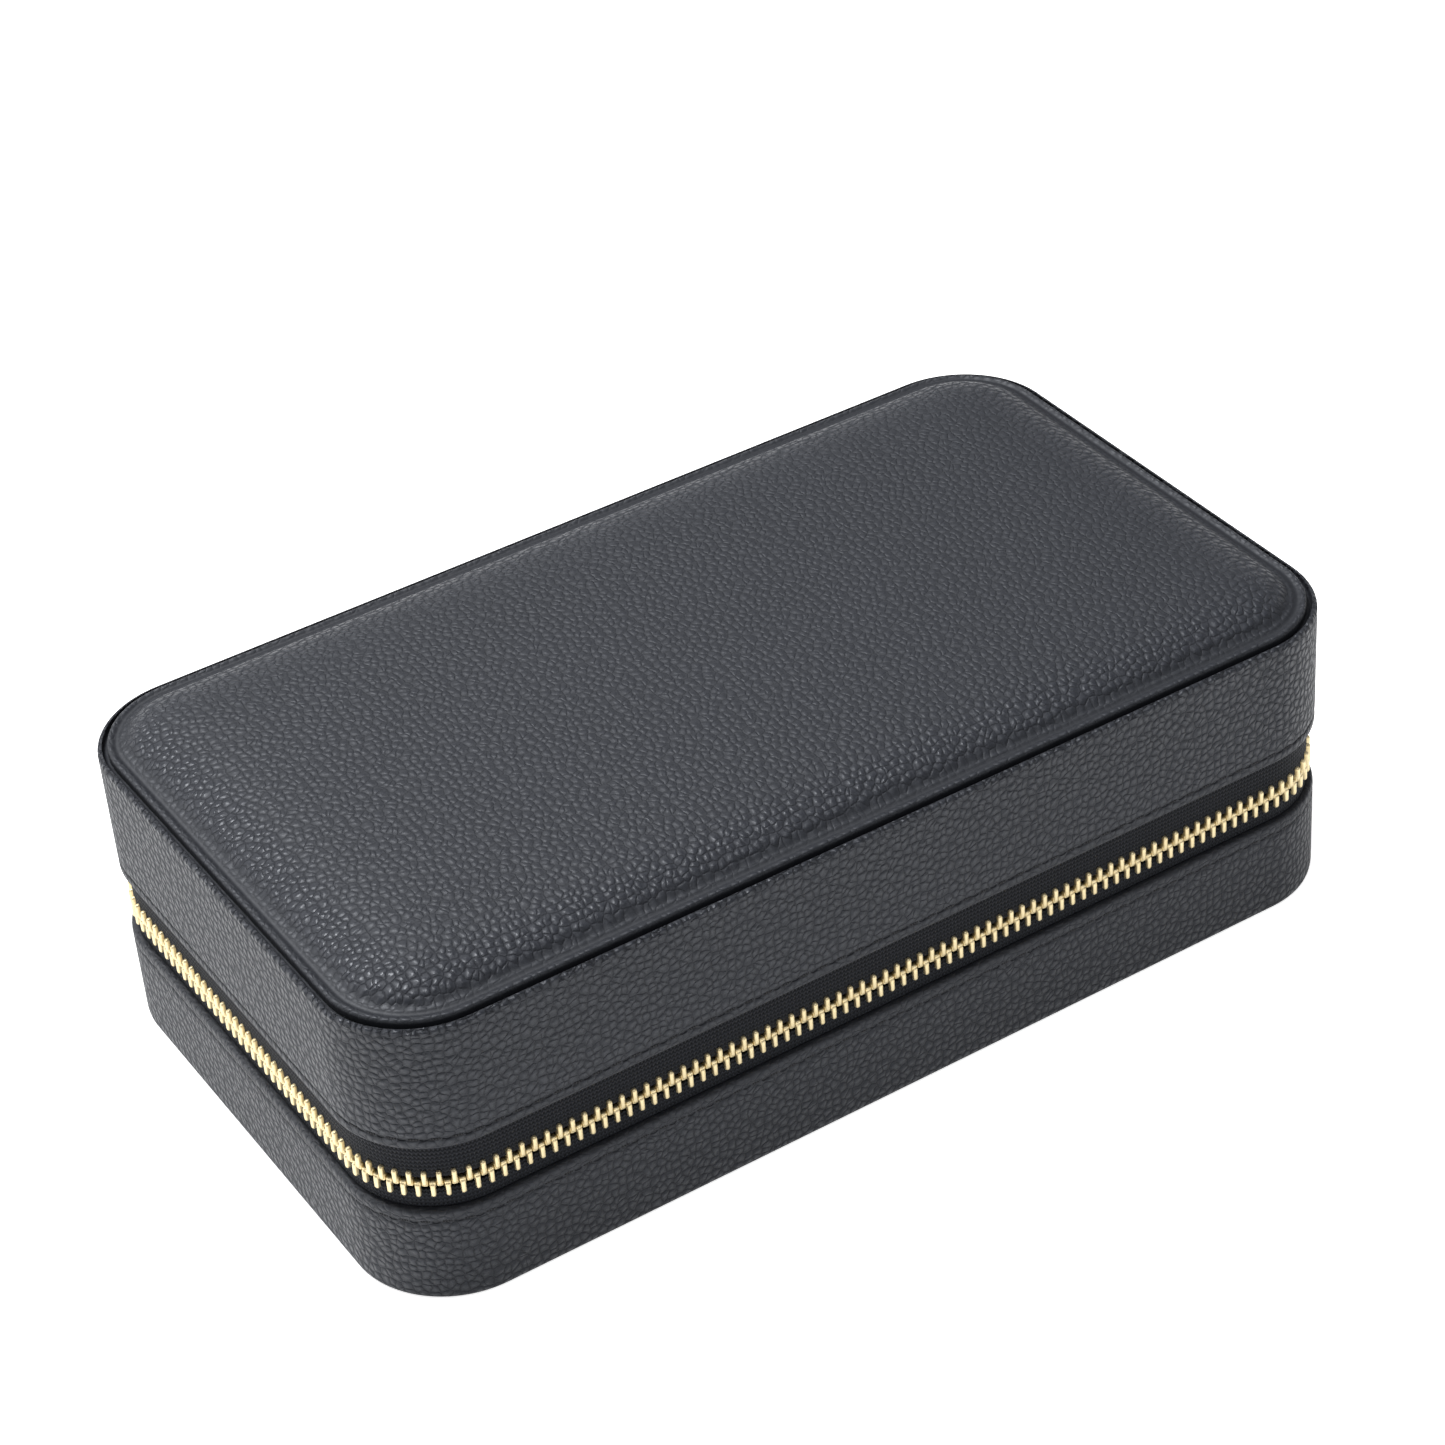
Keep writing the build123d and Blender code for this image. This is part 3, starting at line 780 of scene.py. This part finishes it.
def tooth_loft():
    """A tooth of the base's row: a bar clamped on the tape, and a flatter, wider head."""
    bar = [(-2.78, 0.24, 0.60), (-2.70, 0.38, 0.90), (-2.50, 0.46, 1.06), (-2.2, 0.48, 1.10)]
    bar += [(-0.30, 0.48, 1.08), (0.02, 0.44, 1.0), (0.12, 0.30, 0.8)]
    head = [(-0.95, 0.40, 0.60), (-0.80, 0.58, 0.78), (0.30, 0.62, 0.82)]
    head += [(0.42, 0.56, 0.74), (0.49, 0.40, 0.5)]
    points, faces = squared_loft(bar, 0.5)
    head_points, head_faces = squared_loft(head, 0.5)
    faces = faces + [tuple(len(points) + corner for corner in face) for face in head_faces]
    return points + head_points, faces


def square_up(points, levels, sides=12, power=0.55):
    """Turns each round section into a rounded square one."""
    shaped = []
    for number, (x, y, z) in enumerate(points):
        _, half_x, half_y = levels[number // sides]
        u, v = x / (half_x * mm), y / (half_y * mm)
        u = math.copysign(abs(u) ** power, u)
        v = math.copysign(abs(v) ** power, v)
        shaped.append((u * half_x * mm, v * half_y * mm, z))
    return shaped


def teeth_row(name, body, first, side, node):
    points, faces = tooth_loft()
    flip = Matrix.Rotation(math.pi, 4, "X") if side > 0 else Matrix.Identity(4)
    places = []
    for index in range(tooth_count):
        place = place_on(chain_line, chain_offset + first + index * tooth_pitch, zip_height)
        shift = side * spread_at(place.translation.x, place.translation.y)
        places.append(Matrix.Translation((0, 0, shift)) @ place @ flip)
    row = place_copies(name, points, faces, places, "gold")
    return settle(row, body, "gold_metal", node)


teeth_row("base_teeth", "base", chain_start, -1, "zip_teeth_lower")
teeth_row("lid_teeth", "lid", chain_start + tooth_pitch / 2, 1, "zip_teeth_upper")


# %% End stops
def end_stops(name, body, side, node):
    widths = [(-2.75, 0.8), (-2.6, 1.05), (-1.5, 1.1), (-0.4, 1.05), (-0.22, 0.8)]
    levels = [(height, half, half) for height, half in widths]
    points, faces = squared_loft(levels, 0.35)
    flip = Matrix.Rotation(math.pi, 4, "X") if side > 0 else Matrix.Identity(4)
    runs = (chain_offset + stop_length / 2, chain_offset + chain_length - stop_length / 2)
    places = [place_on(chain_line, run, zip_height) @ flip for run in runs]
    stops = place_copies(name, points, faces, places, "gold")
    return settle(stops, body, "gold_metal", node)


end_stops("base_end_stops", "base", -1, "zip_end_stops_lower")
end_stops("lid_end_stops", "lid", 1, "zip_end_stops_upper")

# %% [markdown]
# The tapes follow the chain's line. Between the two sliders the rows are parted, so the tape's
# inner edge draws back there by the same amount as its teeth.

# %% Zip tapes
tape_edge = 1.3 * mm
tape_tuck = 7.6 * mm
runs = chain_line[:, 4]
tape_end = zip_end - 1 * mm
tape_line = chain_line[(runs > tape_end) & (runs < runs[-1] - tape_end)]


def zip_tape(name, body, side, hidden_edge, node):
    inner = zip_height + side * tape_edge
    heights = [inner + (hidden_edge - inner) * i / 7 for i in range(8)]
    profile = [(-tape_half, h, 0) for h in heights] + [(tape_half, h, 0) for h in reversed(heights)]

    def part(column, point):
        share = abs(point[1] - hidden_edge) / abs(inner - hidden_edge)
        return point[1] + side * spread_at(column[0], column[1]) * share

    tape = skin_round(name, tape_line, profile, "tape", 0.0, part)
    return settle(tape, body, "tape", node)


zip_tape("base_tape", "base", -1, base_edge - tape_tuck, "zip_tape_lower")
zip_tape("lid_tape", "lid", 1, lid_edge + tape_tuck, "zip_tape_upper")

# %% [markdown]
# ## Cut pieces
#
# Plates, tabs, frames and dividers are flat outlines with a thickness and a softened edge. A 2D
# curve does all of it: it may have holes, `extrude` gives it a thickness and `bevel_depth` rounds
# its rims. The curve is then turned into a mesh and laid in place by a matrix.

# %% Flat pieces with holes
def rectangle_line(length, width, radius, middle=(0, 0)):
    """A rounded rectangle as one closed line of points."""
    arcs = corner_arcs(length / 2, width / 2, [radius] * 4, 6, middle)
    return [point[:2] for arc in arcs for point in arc]


def mesh_of_curve(name, curve, lines, closed, matrix, finish):
    """Fills a curve with lines, turns it into a mesh and lays that in place by the matrix."""
    for line in lines:
        spline = curve.splines.new("POLY")
        spline.points.add(len(line) - 1)
        for point, place in zip(spline.points, line):
            point.co = (*place, 1)
        spline.use_cyclic_u = closed
    holder = bpy.data.objects.new(name + "_curve", curve)
    bpy.context.scene.collection.objects.link(holder)
    bpy.context.view_layer.update()
    mesh = bpy.data.meshes.new_from_object(holder)
    bpy.data.objects.remove(holder)
    points = [matrix @ v.co for v in mesh.vertices]
    faces = [tuple(p.vertices) for p in mesh.polygons]
    lay = [(v.co.x, v.co.y + v.co.z, 0) for v in mesh.vertices]
    piece = make_piece(name, points, faces, finish, lay, [1.0] * len(points))
    tidy_shading(piece)
    return piece


def cut_piece(name, lines, thickness, edge, finish, matrix=Matrix.Identity(4)):
    """A flat piece from closed lines in local X and Y, its thickness centred on local Z."""
    curve = bpy.data.curves.new(name, "CURVE")
    curve.dimensions = "2D"
    curve.fill_mode = "BOTH"
    curve.extrude = thickness / 2 - edge
    curve.bevel_depth = edge
    curve.bevel_resolution = 2
    curve.offset = -edge
    flat_lines = [[(x, y, 0) for x, y in line] for line in lines]
    return mesh_of_curve(name, curve, flat_lines, True, matrix, finish)


def tidy_shading(piece):
    """Welds the curve's seams and keeps flat faces flat beside their rounded rims."""
    shape = bmesh.new()
    shape.from_mesh(piece.data)
    bmesh.ops.remove_doubles(shape, verts=shape.verts, dist=0.002 * mm)
    bmesh.ops.recalc_face_normals(shape, faces=shape.faces)
    shape.to_mesh(piece.data)
    shape.free()
    piece.data.set_sharp_from_angle(angle=math.radians(40))


def joined(name, pieces):
    """Joins pieces of one casting into one object."""
    bpy.context.view_layer.update()
    with bpy.context.temp_override(active_object=pieces[0], selected_editable_objects=pieces):
        bpy.ops.object.join()
    pieces[0].name = name
    return pieces[0]


# %% [markdown]
# ## Sliders and pulls
#
# Two sliders meet nose to nose on the right side. Each has an outer and an inner plate, a post in
# its nose that parts the rows, and flanges that press them together at its tail. A bail stands on
# the outer plate, a link runs through the bail, and the pull tab hangs from the link.

# %% Sliders
slider_plate = 1.1 * mm
plate_inner = 1.3 * mm
plate_outer = plate_inner + slider_plate
bail_height = 4.4 * mm
bail_wire = 0.5 * mm
bail_half = 3.3 * mm


def side_frame(y, nose):
    """Local X points to the slider's nose, local Z out of the case's right side."""
    along = Vector((0, nose, 0))
    out = Vector((1, 0, 0))
    matrix = Matrix((along, out.cross(along), out)).transposed().to_4x4()
    matrix.translation = (side_x, y, zip_height)
    return matrix


def plate_line():
    """A slider's plate, wide at its nose and narrower at its tail."""
    half = slider_length / 2
    nose = 4.45 * mm
    tail = 3.7 * mm
    outline = [
        (-half, 1.2 * mm - tail),
        (1.0 * mm - half, -tail),
        (0.0, -tail - 0.1 * mm),
        (half - 2.2 * mm, -nose),
        (half - 0.6 * mm, 0.7 * mm - nose),
        (half, 2.6 * mm - nose),
    ]
    mirrored = [(x, -y) for x, y in reversed(outline)]
    return rounded(outline + mirrored + outline[:1])[:-1]


def tube(name, path, radius, finish, closed=False):
    """A round wire along a path of points."""
    curve = bpy.data.curves.new(name, "CURVE")
    curve.dimensions = "3D"
    curve.bevel_depth = radius
    curve.bevel_resolution = 3
    curve.use_fill_caps = True
    return mesh_of_curve(name, curve, [path], closed, Matrix.Identity(4), finish)


def arch_path(matrix):
    """The bail: two feet on the plate and a bar between them, with round shoulders."""
    low = plate_outer - 0.3 * mm
    turn = 1.2 * mm
    path = [(-bail_half, 0, low), (-bail_half, 0, bail_height - turn)]
    for step in range(1, 6):
        angle = math.pi / 2 * step / 6
        across = turn * (1 - math.cos(angle))
        path.append((across - bail_half, 0, bail_height - turn * (1 - math.sin(angle))))
    path.append((turn - bail_half, 0, bail_height))
    path += [(-x, y, z) for x, y, z in reversed(path)]
    return [matrix @ Vector(p) for p in path]


def make_slider(name, nose):
    matrix = side_frame(-nose * (slider_gap + slider_length) / 2, nose)
    parts = []

    def add_plate(part, line, thickness, edge, place):
        lift = matrix @ Matrix.Translation(place)
        parts.append(cut_piece(f"{name}_{part}", [line], thickness, edge, "gold", lift))

    plate_middle = (plate_inner + plate_outer) / 2
    flange_line = rectangle_line(4.4 * mm, 0.75 * mm, 0.3 * mm)
    flange_depth = 0.8 * mm
    flange_middle = plate_inner - flange_depth / 2 + 0.05 * mm
    for side in (-1, 1):
        add_plate("plate", plate_line(), slider_plate, 0.25 * mm, (0, 0, side * plate_middle))
        for edge in (-1, 1):
            place = (-2.7 * mm, edge * 3.35 * mm, side * flange_middle)
            add_plate("flange", flange_line, flange_depth, 0.12 * mm, place)
    post_line = rectangle_line(post_length, 1.7 * mm, 0.8 * mm)
    post_place = (slider_length / 2 - post_length / 2 - 0.3 * mm, 0, 0)
    add_plate("post", post_line, 2 * plate_inner + 0.2 * mm, 0.1 * mm, post_place)
    parts.append(tube(name + "_bail", arch_path(matrix), bail_wire, "gold"))
    slider = joined(name + "_cast", parts)
    return settle(slider, name, "gold_metal", name)


make_slider("slider_front", 1)
make_slider("slider_rear", -1)

# %% Links and pull tabs
link_wire = 0.5 * mm
link_length = 6.0 * mm
link_half = 1.2 * mm
tab_width = 7.0 * mm
tab_low, tab_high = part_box("pull_tab_front")


def link_path(matrix):
    """A long loop: its upper end round the bail's bar, its lower end through the tab."""
    path = []
    for centre, first in ((0.0, 0), (-link_length, 180)):
        for step in range(13):
            angle = math.radians(first + 180 * step / 12)
            path.append((link_half * math.cos(angle), centre + link_half * math.sin(angle)))
    return [matrix @ Vector((0, up, bail_height + out)) for out, up in path]


def upright_frame(y):
    """Local Y is up and local Z points out of the right side, at the bail's bar."""
    matrix = Matrix((Vector((0, 1, 0)), Vector((0, 0, 1)), Vector((1, 0, 0)))).transposed().to_4x4()
    matrix.translation = (side_x, y, zip_height)
    return matrix


def tab_line(length):
    """A leaf-shaped tab, a little wider at its foot."""
    half = tab_width / 2
    outline = [
        (0.8 * mm, 0.0),
        (2.2 * mm, -0.3 * mm),
        (2.6 * mm, -2.0 * mm),
        (2.5 * mm, -5.0 * mm),
        (half, 4.0 * mm - length),
        (half - 0.3 * mm, 1.0 * mm - length),
        (1.6 * mm, -length),
        (0, -length),
    ]
    whole = outline + [(-x, y) for x, y in reversed(outline[:-1])] + outline[:1]
    return rounded(whole)[:-1]


def make_pull(side, nose):
    matrix = upright_frame(-nose * (slider_gap + slider_length) / 2)
    link = tube(f"link_{side}", link_path(matrix), link_wire, "gold", closed=True)
    settle(link, f"pull_{side}", "gold_metal", f"pull_link_{side}")
    top = Matrix.Translation((0, tab_high.z - zip_height, bail_height))
    hole = rectangle_line(2.2 * mm, 2.2 * mm, 0.9 * mm, middle=(0, -2.35 * mm))
    window = rectangle_line(2.6 * mm, 7.0 * mm, 1.2 * mm, middle=(0, -10.5 * mm))
    lines = [tab_line(tab_high.z - tab_low.z), hole, window]
    tab = cut_piece(f"tab_{side}", lines, 1.2 * mm, 0.25 * mm, "gold", matrix @ top)
    settle(tab, f"pull_{side}", "gold_metal", f"pull_tab_{side}")


make_pull("front", 1)
make_pull("rear", -1)

# %% [markdown]
# ## The spine
#
# The lid has no metal hinge: on the case, a strip of the same leather joins it to the base across
# the back and simply bends. Here the strip is one fixed mesh with a slight outward swell, and it
# and its lining ride on neither body.

# %% Spine leather and its lining
def bending_strip(name, outer_y, inner_y, low, high, bulge, finish, slot, node):
    rows, across = 26, 36
    points, faces, lay = [], [], []
    for leaf, y in enumerate((outer_y, inner_y)):
        for row in range(rows + 1):
            height = low + (high - low) * row / rows
            share = (height - base_edge) / (lid_edge - base_edge)
            swell = bulge * math.sin(math.pi * min(max(share, 0), 1))
            for step in range(across + 1):
                x = -spine_half + 2 * spine_half * step / across
                points.append((x, y + swell, height))
                lay.append((x, height, leaf))
    size = (rows + 1) * (across + 1)

    def at(leaf, row, step):
        return leaf * size + row * (across + 1) + step

    for row in range(rows):
        for step in range(across):
            quad = [at(0, row, step), at(0, row, step + 1)]
            quad += [at(0, row + 1, step + 1), at(0, row + 1, step)]
            faces.append(quad)
            faces.append([corner + size for corner in quad])
        for step in (0, across):
            faces.append([at(0, row, step), at(0, row + 1, step), at(1, row + 1, step), at(1, row, step)])
    for step in range(across):
        for row in (0, rows):
            faces.append([at(0, row, step), at(0, row, step + 1), at(1, row, step + 1), at(1, row, step)])
    strip = make_piece(name, points, faces, finish, lay, [0.8] * len(points))
    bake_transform(strip)
    return settle(strip, None, slot, node)


tuck = 7.4 * mm
outer, inner = half_depth - 1.4 * mm, half_depth - 1.95 * mm
low, high = base_edge - tuck, lid_edge + tuck
leaf = ("plain", "leather", "spine_leather")
bending_strip("spine_strip", outer, inner, low, high, 0.5 * mm, *leaf)
outer, inner = half_depth - 4.1 * mm, half_depth - 4.7 * mm
low, high = base_edge - 0.4 * mm, lid_edge + 0.4 * mm
leaf = ("suede", "lining", "spine_lining")
bending_strip("spine_lining_strip", outer, inner, low, high, 0.0, *leaf)

# %% [markdown]
# ## Linings
#
# The linings are tubs of board-backed suede. Their rims fold over the board's edge to meet the zip
# tape, and their floors run into the walls with a small curve, as glued cloth does. Both are rings
# again: up the outside, over the rim, down the inside and across the floor.

# %% Lining of the base and of the lid
floor_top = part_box("base_lining")[0].z + 0.8 * mm
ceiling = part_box("lid_lining")[1].z - 0.8 * mm


def tub_rings(edge, floor, direction):
    """A tub whose rim is at edge; direction is +1 when it opens upward."""
    d = direction * mm
    outside = [
        (40 * mm, floor - 0.75 * d),
        (4.02 * mm, floor - 0.75 * d),
        (4.02 * mm, edge - 1.0 * d),
        (2.15 * mm, edge - 0.72 * d),
    ]
    rim_fold = [
        (2.15 * mm, edge - 0.72 * d),
        (2.6 * mm, edge - 0.3 * d),
        (4.1 * mm, edge - 0.3 * d),
        (4.8 * mm, edge - 0.9 * d),
    ]
    inside = [
        (4.8 * mm, edge - 1.3 * d),
        (4.8 * mm, floor + 3.0 * d),
        (4.8 * mm, floor),
        (9.0 * mm, floor),
        (40 * mm, floor),
    ]
    line = outside + rounded(rim_fold)[1:] + rounded(inside)
    return [(inset, height, 0) for inset, height in line]


base_tub = ring_panel("base_tub_lining", tub_rings(base_edge, floor_top, 1), "suede")
settle(base_tub, "base", "lining", "base_lining")
lid_tub = ring_panel("lid_tub_lining", tub_rings(lid_edge, ceiling, -1), "suede")
settle(lid_tub, "lid", "lining", "lid_lining")

# %% Mirror and its padded frame
frame_low, frame_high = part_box("mirror_frame")
glass_low, glass_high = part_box("mirror_glass")
frame_size = frame_high - frame_low
glass_size = glass_high - glass_low
frame_lines = [
    rectangle_line(frame_size.x, frame_size.y, 7 * mm),
    rectangle_line(glass_size.x - 0.4 * mm, glass_size.y - 0.4 * mm, 4 * mm),
]
lift = Matrix.Translation((0, 0, (frame_low.z + frame_high.z) / 2))
mirror_frame = cut_piece("padded_mirror_frame", frame_lines, frame_size.z, 1.0 * mm, "suede", lift)
settle(mirror_frame, "lid", "lining", "mirror_frame")
glass_line = rectangle_line(glass_size.x, glass_size.y, 4 * mm)
lift = Matrix.Translation((0, 0, (glass_low.z + glass_high.z) / 2))
mirror = cut_piece("mirror_plate", [glass_line], glass_size.z, 0.3 * mm, "mirror", lift)
settle(mirror, "lid", "mirror", "mirror_glass")

# %% [markdown]
# ## Inside the base
#
# The ring rolls are foam bars in velvet. A cushion is never a block: each roll swells a little in
# its middle, its sides pull in at the ends, and its top is round, so rings slip in between two
# rolls. The dividers are padded boards with soft edges.

# %% Ring rolls
def ring_roll(number):
    node = f"ring_roll_{number}"
    low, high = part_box(node)
    middle = (low + high) / 2
    size = high - low
    sections, steps, sides = [], 20, 28
    for step in range(steps + 1):
        share = step / steps
        end = min(share, 1 - share) * size.x
        closing = min(end / (3.0 * mm), 1.0)
        pull = math.sqrt(1 - (1 - closing) ** 2)
        swell = 0.96 + 0.04 * math.sin(math.pi * share)
        scale = max(0.25, 0.45 + 0.55 * pull) * swell
        centre = (low.x + size.x * share, middle.y, 0)
        sections.append((centre, size.y / 2 * scale, size.z / 2 * scale))
    points, faces = loft(sections, sides)
    shaped = []
    for index, (x, y, z) in enumerate(points):
        _, wide, high_half = sections[index // sides]
        u, v = (y - middle.y) / wide, z / high_half
        power = 0.75 if v > 0 else 0.45
        u = math.copysign(abs(u) ** power, u)
        v = math.copysign(abs(v) ** power, v)
        lift = size.z / 2 - high_half
        shaped.append((x, middle.y + u * wide, middle.z + v * high_half - lift * 0.6))
    roll = make_piece(f"velvet_{node}", shaped, faces, "velvet")
    settle(roll, "base", "ring_velvet", node)


for number in range(1, 8):
    ring_roll(number)


# %% Dividers
def divider(node, name):
    """A padded board standing on edge, cut to its CAD node's box."""
    low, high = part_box(node)
    middle = (low + high) / 2
    size = high - low
    thin = 0 if size.x < size.y else 1
    length = size[1 - thin]
    matrix = Matrix.Rotation(math.pi / 2, 4, "X")
    if thin == 0:
        matrix = Matrix.Rotation(math.pi / 2, 4, "Z") @ matrix
    matrix = Matrix.Translation(middle) @ matrix
    line = rectangle_line(length, size.z, 1.2 * mm)
    board = cut_piece(name, [line], size[thin], 0.45 * size[thin], "suede", matrix)
    settle(board, "base", "lining", node)


for node in ("divider_ring", "divider_middle"):
    divider(node, "padded_" + node)
for node in ("tray_divider_long", "tray_divider_short_1", "tray_divider_short_2"):
    divider(node, "padded_" + node)

# %% [markdown]
# ## The lift-out tray
#
# The tray is a covered board tub that stands on the dividers. Its outline follows the case's round
# corners on the left and has small corners on the right, so it gets an outline of its own. Two
# ribbon loops at its middle are for lifting it out.

# %% Tray
tray_low, tray_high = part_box("tray_board")
tray_middle = (tray_low + tray_high) / 2
tray_size = tray_high - tray_low


def tray_shape(inset):
    """The tray's outline at an inset: half sizes, the four radii and the middle."""
    left = max(14.3 * mm - inset, 2 * mm)
    right = max(3.0 * mm - inset, 0.8 * mm)
    half_x, half_y = tray_size.x / 2 - inset, tray_size.y / 2 - inset
    return half_x, half_y, [left, left, right, right], (tray_middle.x, tray_middle.y)


wall = 1.6 * mm
tray_foot = tray_low.z
tray_rim = tray_high.z
tray_wall_profile = [
    (0.3 * mm, tray_foot + 0.3 * mm, full),
    (0.0, tray_foot + 1.2 * mm, full),
    (0.0, tray_middle.z, full),
    (0.0, tray_rim - 0.9 * mm, soft),
    (0.25 * mm, tray_rim - 0.2 * mm, worn),
    (0.8 * mm, tray_rim, worn),
    (1.35 * mm, tray_rim - 0.2 * mm, worn),
    (wall, tray_rim - 0.9 * mm, flat),
    (wall, tray_foot + 0.3 * mm, flat),
]
tray_line = rounded_outline(*tray_shape(0.0), corner_steps=16)
tray_wall = skin_round("tray_wall", tray_line, rounded(tray_wall_profile, 1), "plain")
settle(tray_wall, "base", "tray_board", "tray_board")
tray_floor_rings = [
    (30 * mm, tray_foot, full),
    (1.2 * mm, tray_foot, full),
    (0.3 * mm, tray_foot + 0.3 * mm, full),
    (wall, tray_foot + wall, flat),
    (30 * mm, tray_foot + wall, flat),
]
tray_floor_board = ring_panel("tray_floor", tray_floor_rings, "plain", tray_shape)
settle(tray_floor_board, "base", "tray_board", "tray_board")

lining_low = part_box("tray_lining")[0].z
tray_floor = lining_low + 0.6 * mm
tray_lining_rings = [
    (30 * mm, lining_low, 0),
    (1.65 * mm, lining_low, 0),
    (1.65 * mm, tray_rim - 1.2 * mm, 0),
    (1.9 * mm, tray_rim - 0.9 * mm, 0),
    (2.2 * mm, tray_rim - 1.2 * mm, 0),
    (2.2 * mm, tray_floor + 1.5 * mm, 0),
    (2.6 * mm, tray_floor + 0.4 * mm, 0),
    (3.8 * mm, tray_floor, 0),
    (30 * mm, tray_floor, 0),
]
tray_lining = ring_panel("tray_suede", tray_lining_rings, "suede", tray_shape)
settle(tray_lining, "base", "lining", "tray_lining")


# %% Ribbon loops
def ribbon_loop(node, name, side):
    """A loop of ribbon: down behind itself, up over the tray's rim and back."""
    low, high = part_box(node)
    wall_y = high.y if side > 0 else low.y
    middle_x = (low.x + high.x) / 2
    width = high.x - low.x
    top = high.z
    rise = [(0.05, low.z), (0.1, top - 5 * mm), (0.25, top - 2 * mm), (0.3, top - 0.4 * mm)]
    fall = [(0.7, top - 0.4 * mm), (0.75, top - 2 * mm), (0.9, top - 5 * mm), (0.95, low.z)]
    loop_depth = 0.5 * mm
    line = rounded([(share * loop_depth, height) for share, height in rise + [(0.5, top)] + fall])
    columns = []
    for share in (0, 0.25, 0.5, 0.75, 1):
        columns.append((middle_x + width * (share - 0.5), wall_y, 0, side, width * share))
    thin = 0.06 * mm
    profile = [(inset - thin, height, 0) for inset, height in line]
    profile += [(inset + thin, height - thin, 0) for inset, height in reversed(line)]
    loop = skin_round(name, np.array(columns), profile, "ribbon")
    return settle(loop, "base", "ribbon", node)


ribbon_loop("tray_ribbon_front", "ribbon_front", -1)
ribbon_loop("tray_ribbon_back", "ribbon_back", 1)

# %% [markdown]
# ## What stays as it is
#
# The board shells are hidden between leather and lining and have the right shape already, so they
# keep their CAD meshes and only get the grey board's finish.

# %% Finishes for the CAD pieces that stay
for node in ("base_board", "lid_board"):
    board = frame["nodes"][node]
    board.data.materials.clear()
    board.data.materials.append(finishes["board"])
    print(node, "is grey board")

# %% [markdown]
# ## Studio, light and camera
#
# Black leather is lit by what it reflects. A pale floor and a bright, even world wrap it in white.
# A large soft light from the left and behind, a smaller one high behind and a wide one overhead
# shape the pebbles and the turned edges. The camera looks down over the front left corner with a
# long lens.

# %% Floor and light
def studio_floor():
    floor = Finish("studio_floor", Roughness=0.9, Specular_IOR_Level=0.2, Emission_Strength=0.66)
    cloud = floor.noise(floor.object_place(), 0.6)
    floor.set(Base_Color=floor.colours(cloud, (0.86, 0.86, 0.86), (0.88, 0.88, 0.88)))
    floor.shader.inputs["Emission Color"].default_value = (1, 1, 1, 1)
    return floor.material


finishes["floor"] = studio_floor()
reach = 6.0
floor_points = [(-reach, -reach, 0), (reach, -reach, 0), (reach, reach, 0), (-reach, reach, 0)]
make_piece("floor", floor_points, [(0, 1, 2, 3)], "floor", smooth=False)

world = bpy.data.worlds.new("studio")
bpy.context.scene.world = world
world.use_nodes = True
world.node_tree.nodes["Background"].inputs["Color"].default_value = (1.0, 1.0, 1.0, 1)
world.node_tree.nodes["Background"].inputs["Strength"].default_value = 0.36


def soft_light(name, place, size, power, target=(0, 0, 0.03)):
    lamp = bpy.data.lights.new(name, "AREA")
    lamp.shape = "RECTANGLE"
    lamp.size, lamp.size_y = size
    lamp.energy = power
    light = bpy.data.objects.new(name, lamp)
    light.location = place
    aim = Vector(target) - Vector(place)
    light.rotation_euler = aim.to_track_quat("-Z", "Y").to_euler()
    bpy.context.scene.collection.objects.link(light)


soft_light("key", (-1.5, 1.3, 0.4), (1.4, 1.0), 14.0)
soft_light("top", (-0.3, 0.8, 1.6), (0.6, 0.6), 46.0)
soft_light("overhead", (0.1, -0.55, 1.7), (1.3, 0.7), 8.0)
bpy.context.scene.view_settings.view_transform = "Standard"

# %% Camera
turn = math.radians(29.95)
tilt = math.radians(36.06)
roll = math.radians(-4.77)
distance = 3.610 * 2 * half_length
offset_right = 0.00995 * 2 * half_length
offset_up = -0.18477 * 2 * half_length
focal_length = 97.032
sensor_width = 36

forward = Vector((math.sin(turn) * math.cos(tilt), math.cos(turn) * math.cos(tilt), -math.sin(tilt)))
right = Vector((math.cos(turn), -math.sin(turn), 0))
up = right.cross(forward)
rolled_right = math.cos(roll) * right + math.sin(roll) * up
rolled_up = -math.sin(roll) * right + math.cos(roll) * up
lens = bpy.data.cameras.new("camera")
lens.sensor_width = sensor_width
lens.lens = focal_length
camera = bpy.data.objects.new("camera", lens)
pose = Matrix((rolled_right, rolled_up, -forward)).transposed().to_4x4()
pose.translation = -(offset_right * rolled_right + offset_up * rolled_up + distance * forward)
camera.matrix_world = pose
bpy.context.scene.collection.objects.link(camera)
bpy.context.scene.camera = camera
print("camera at", [round(c, 3) for c in camera.matrix_world.translation])
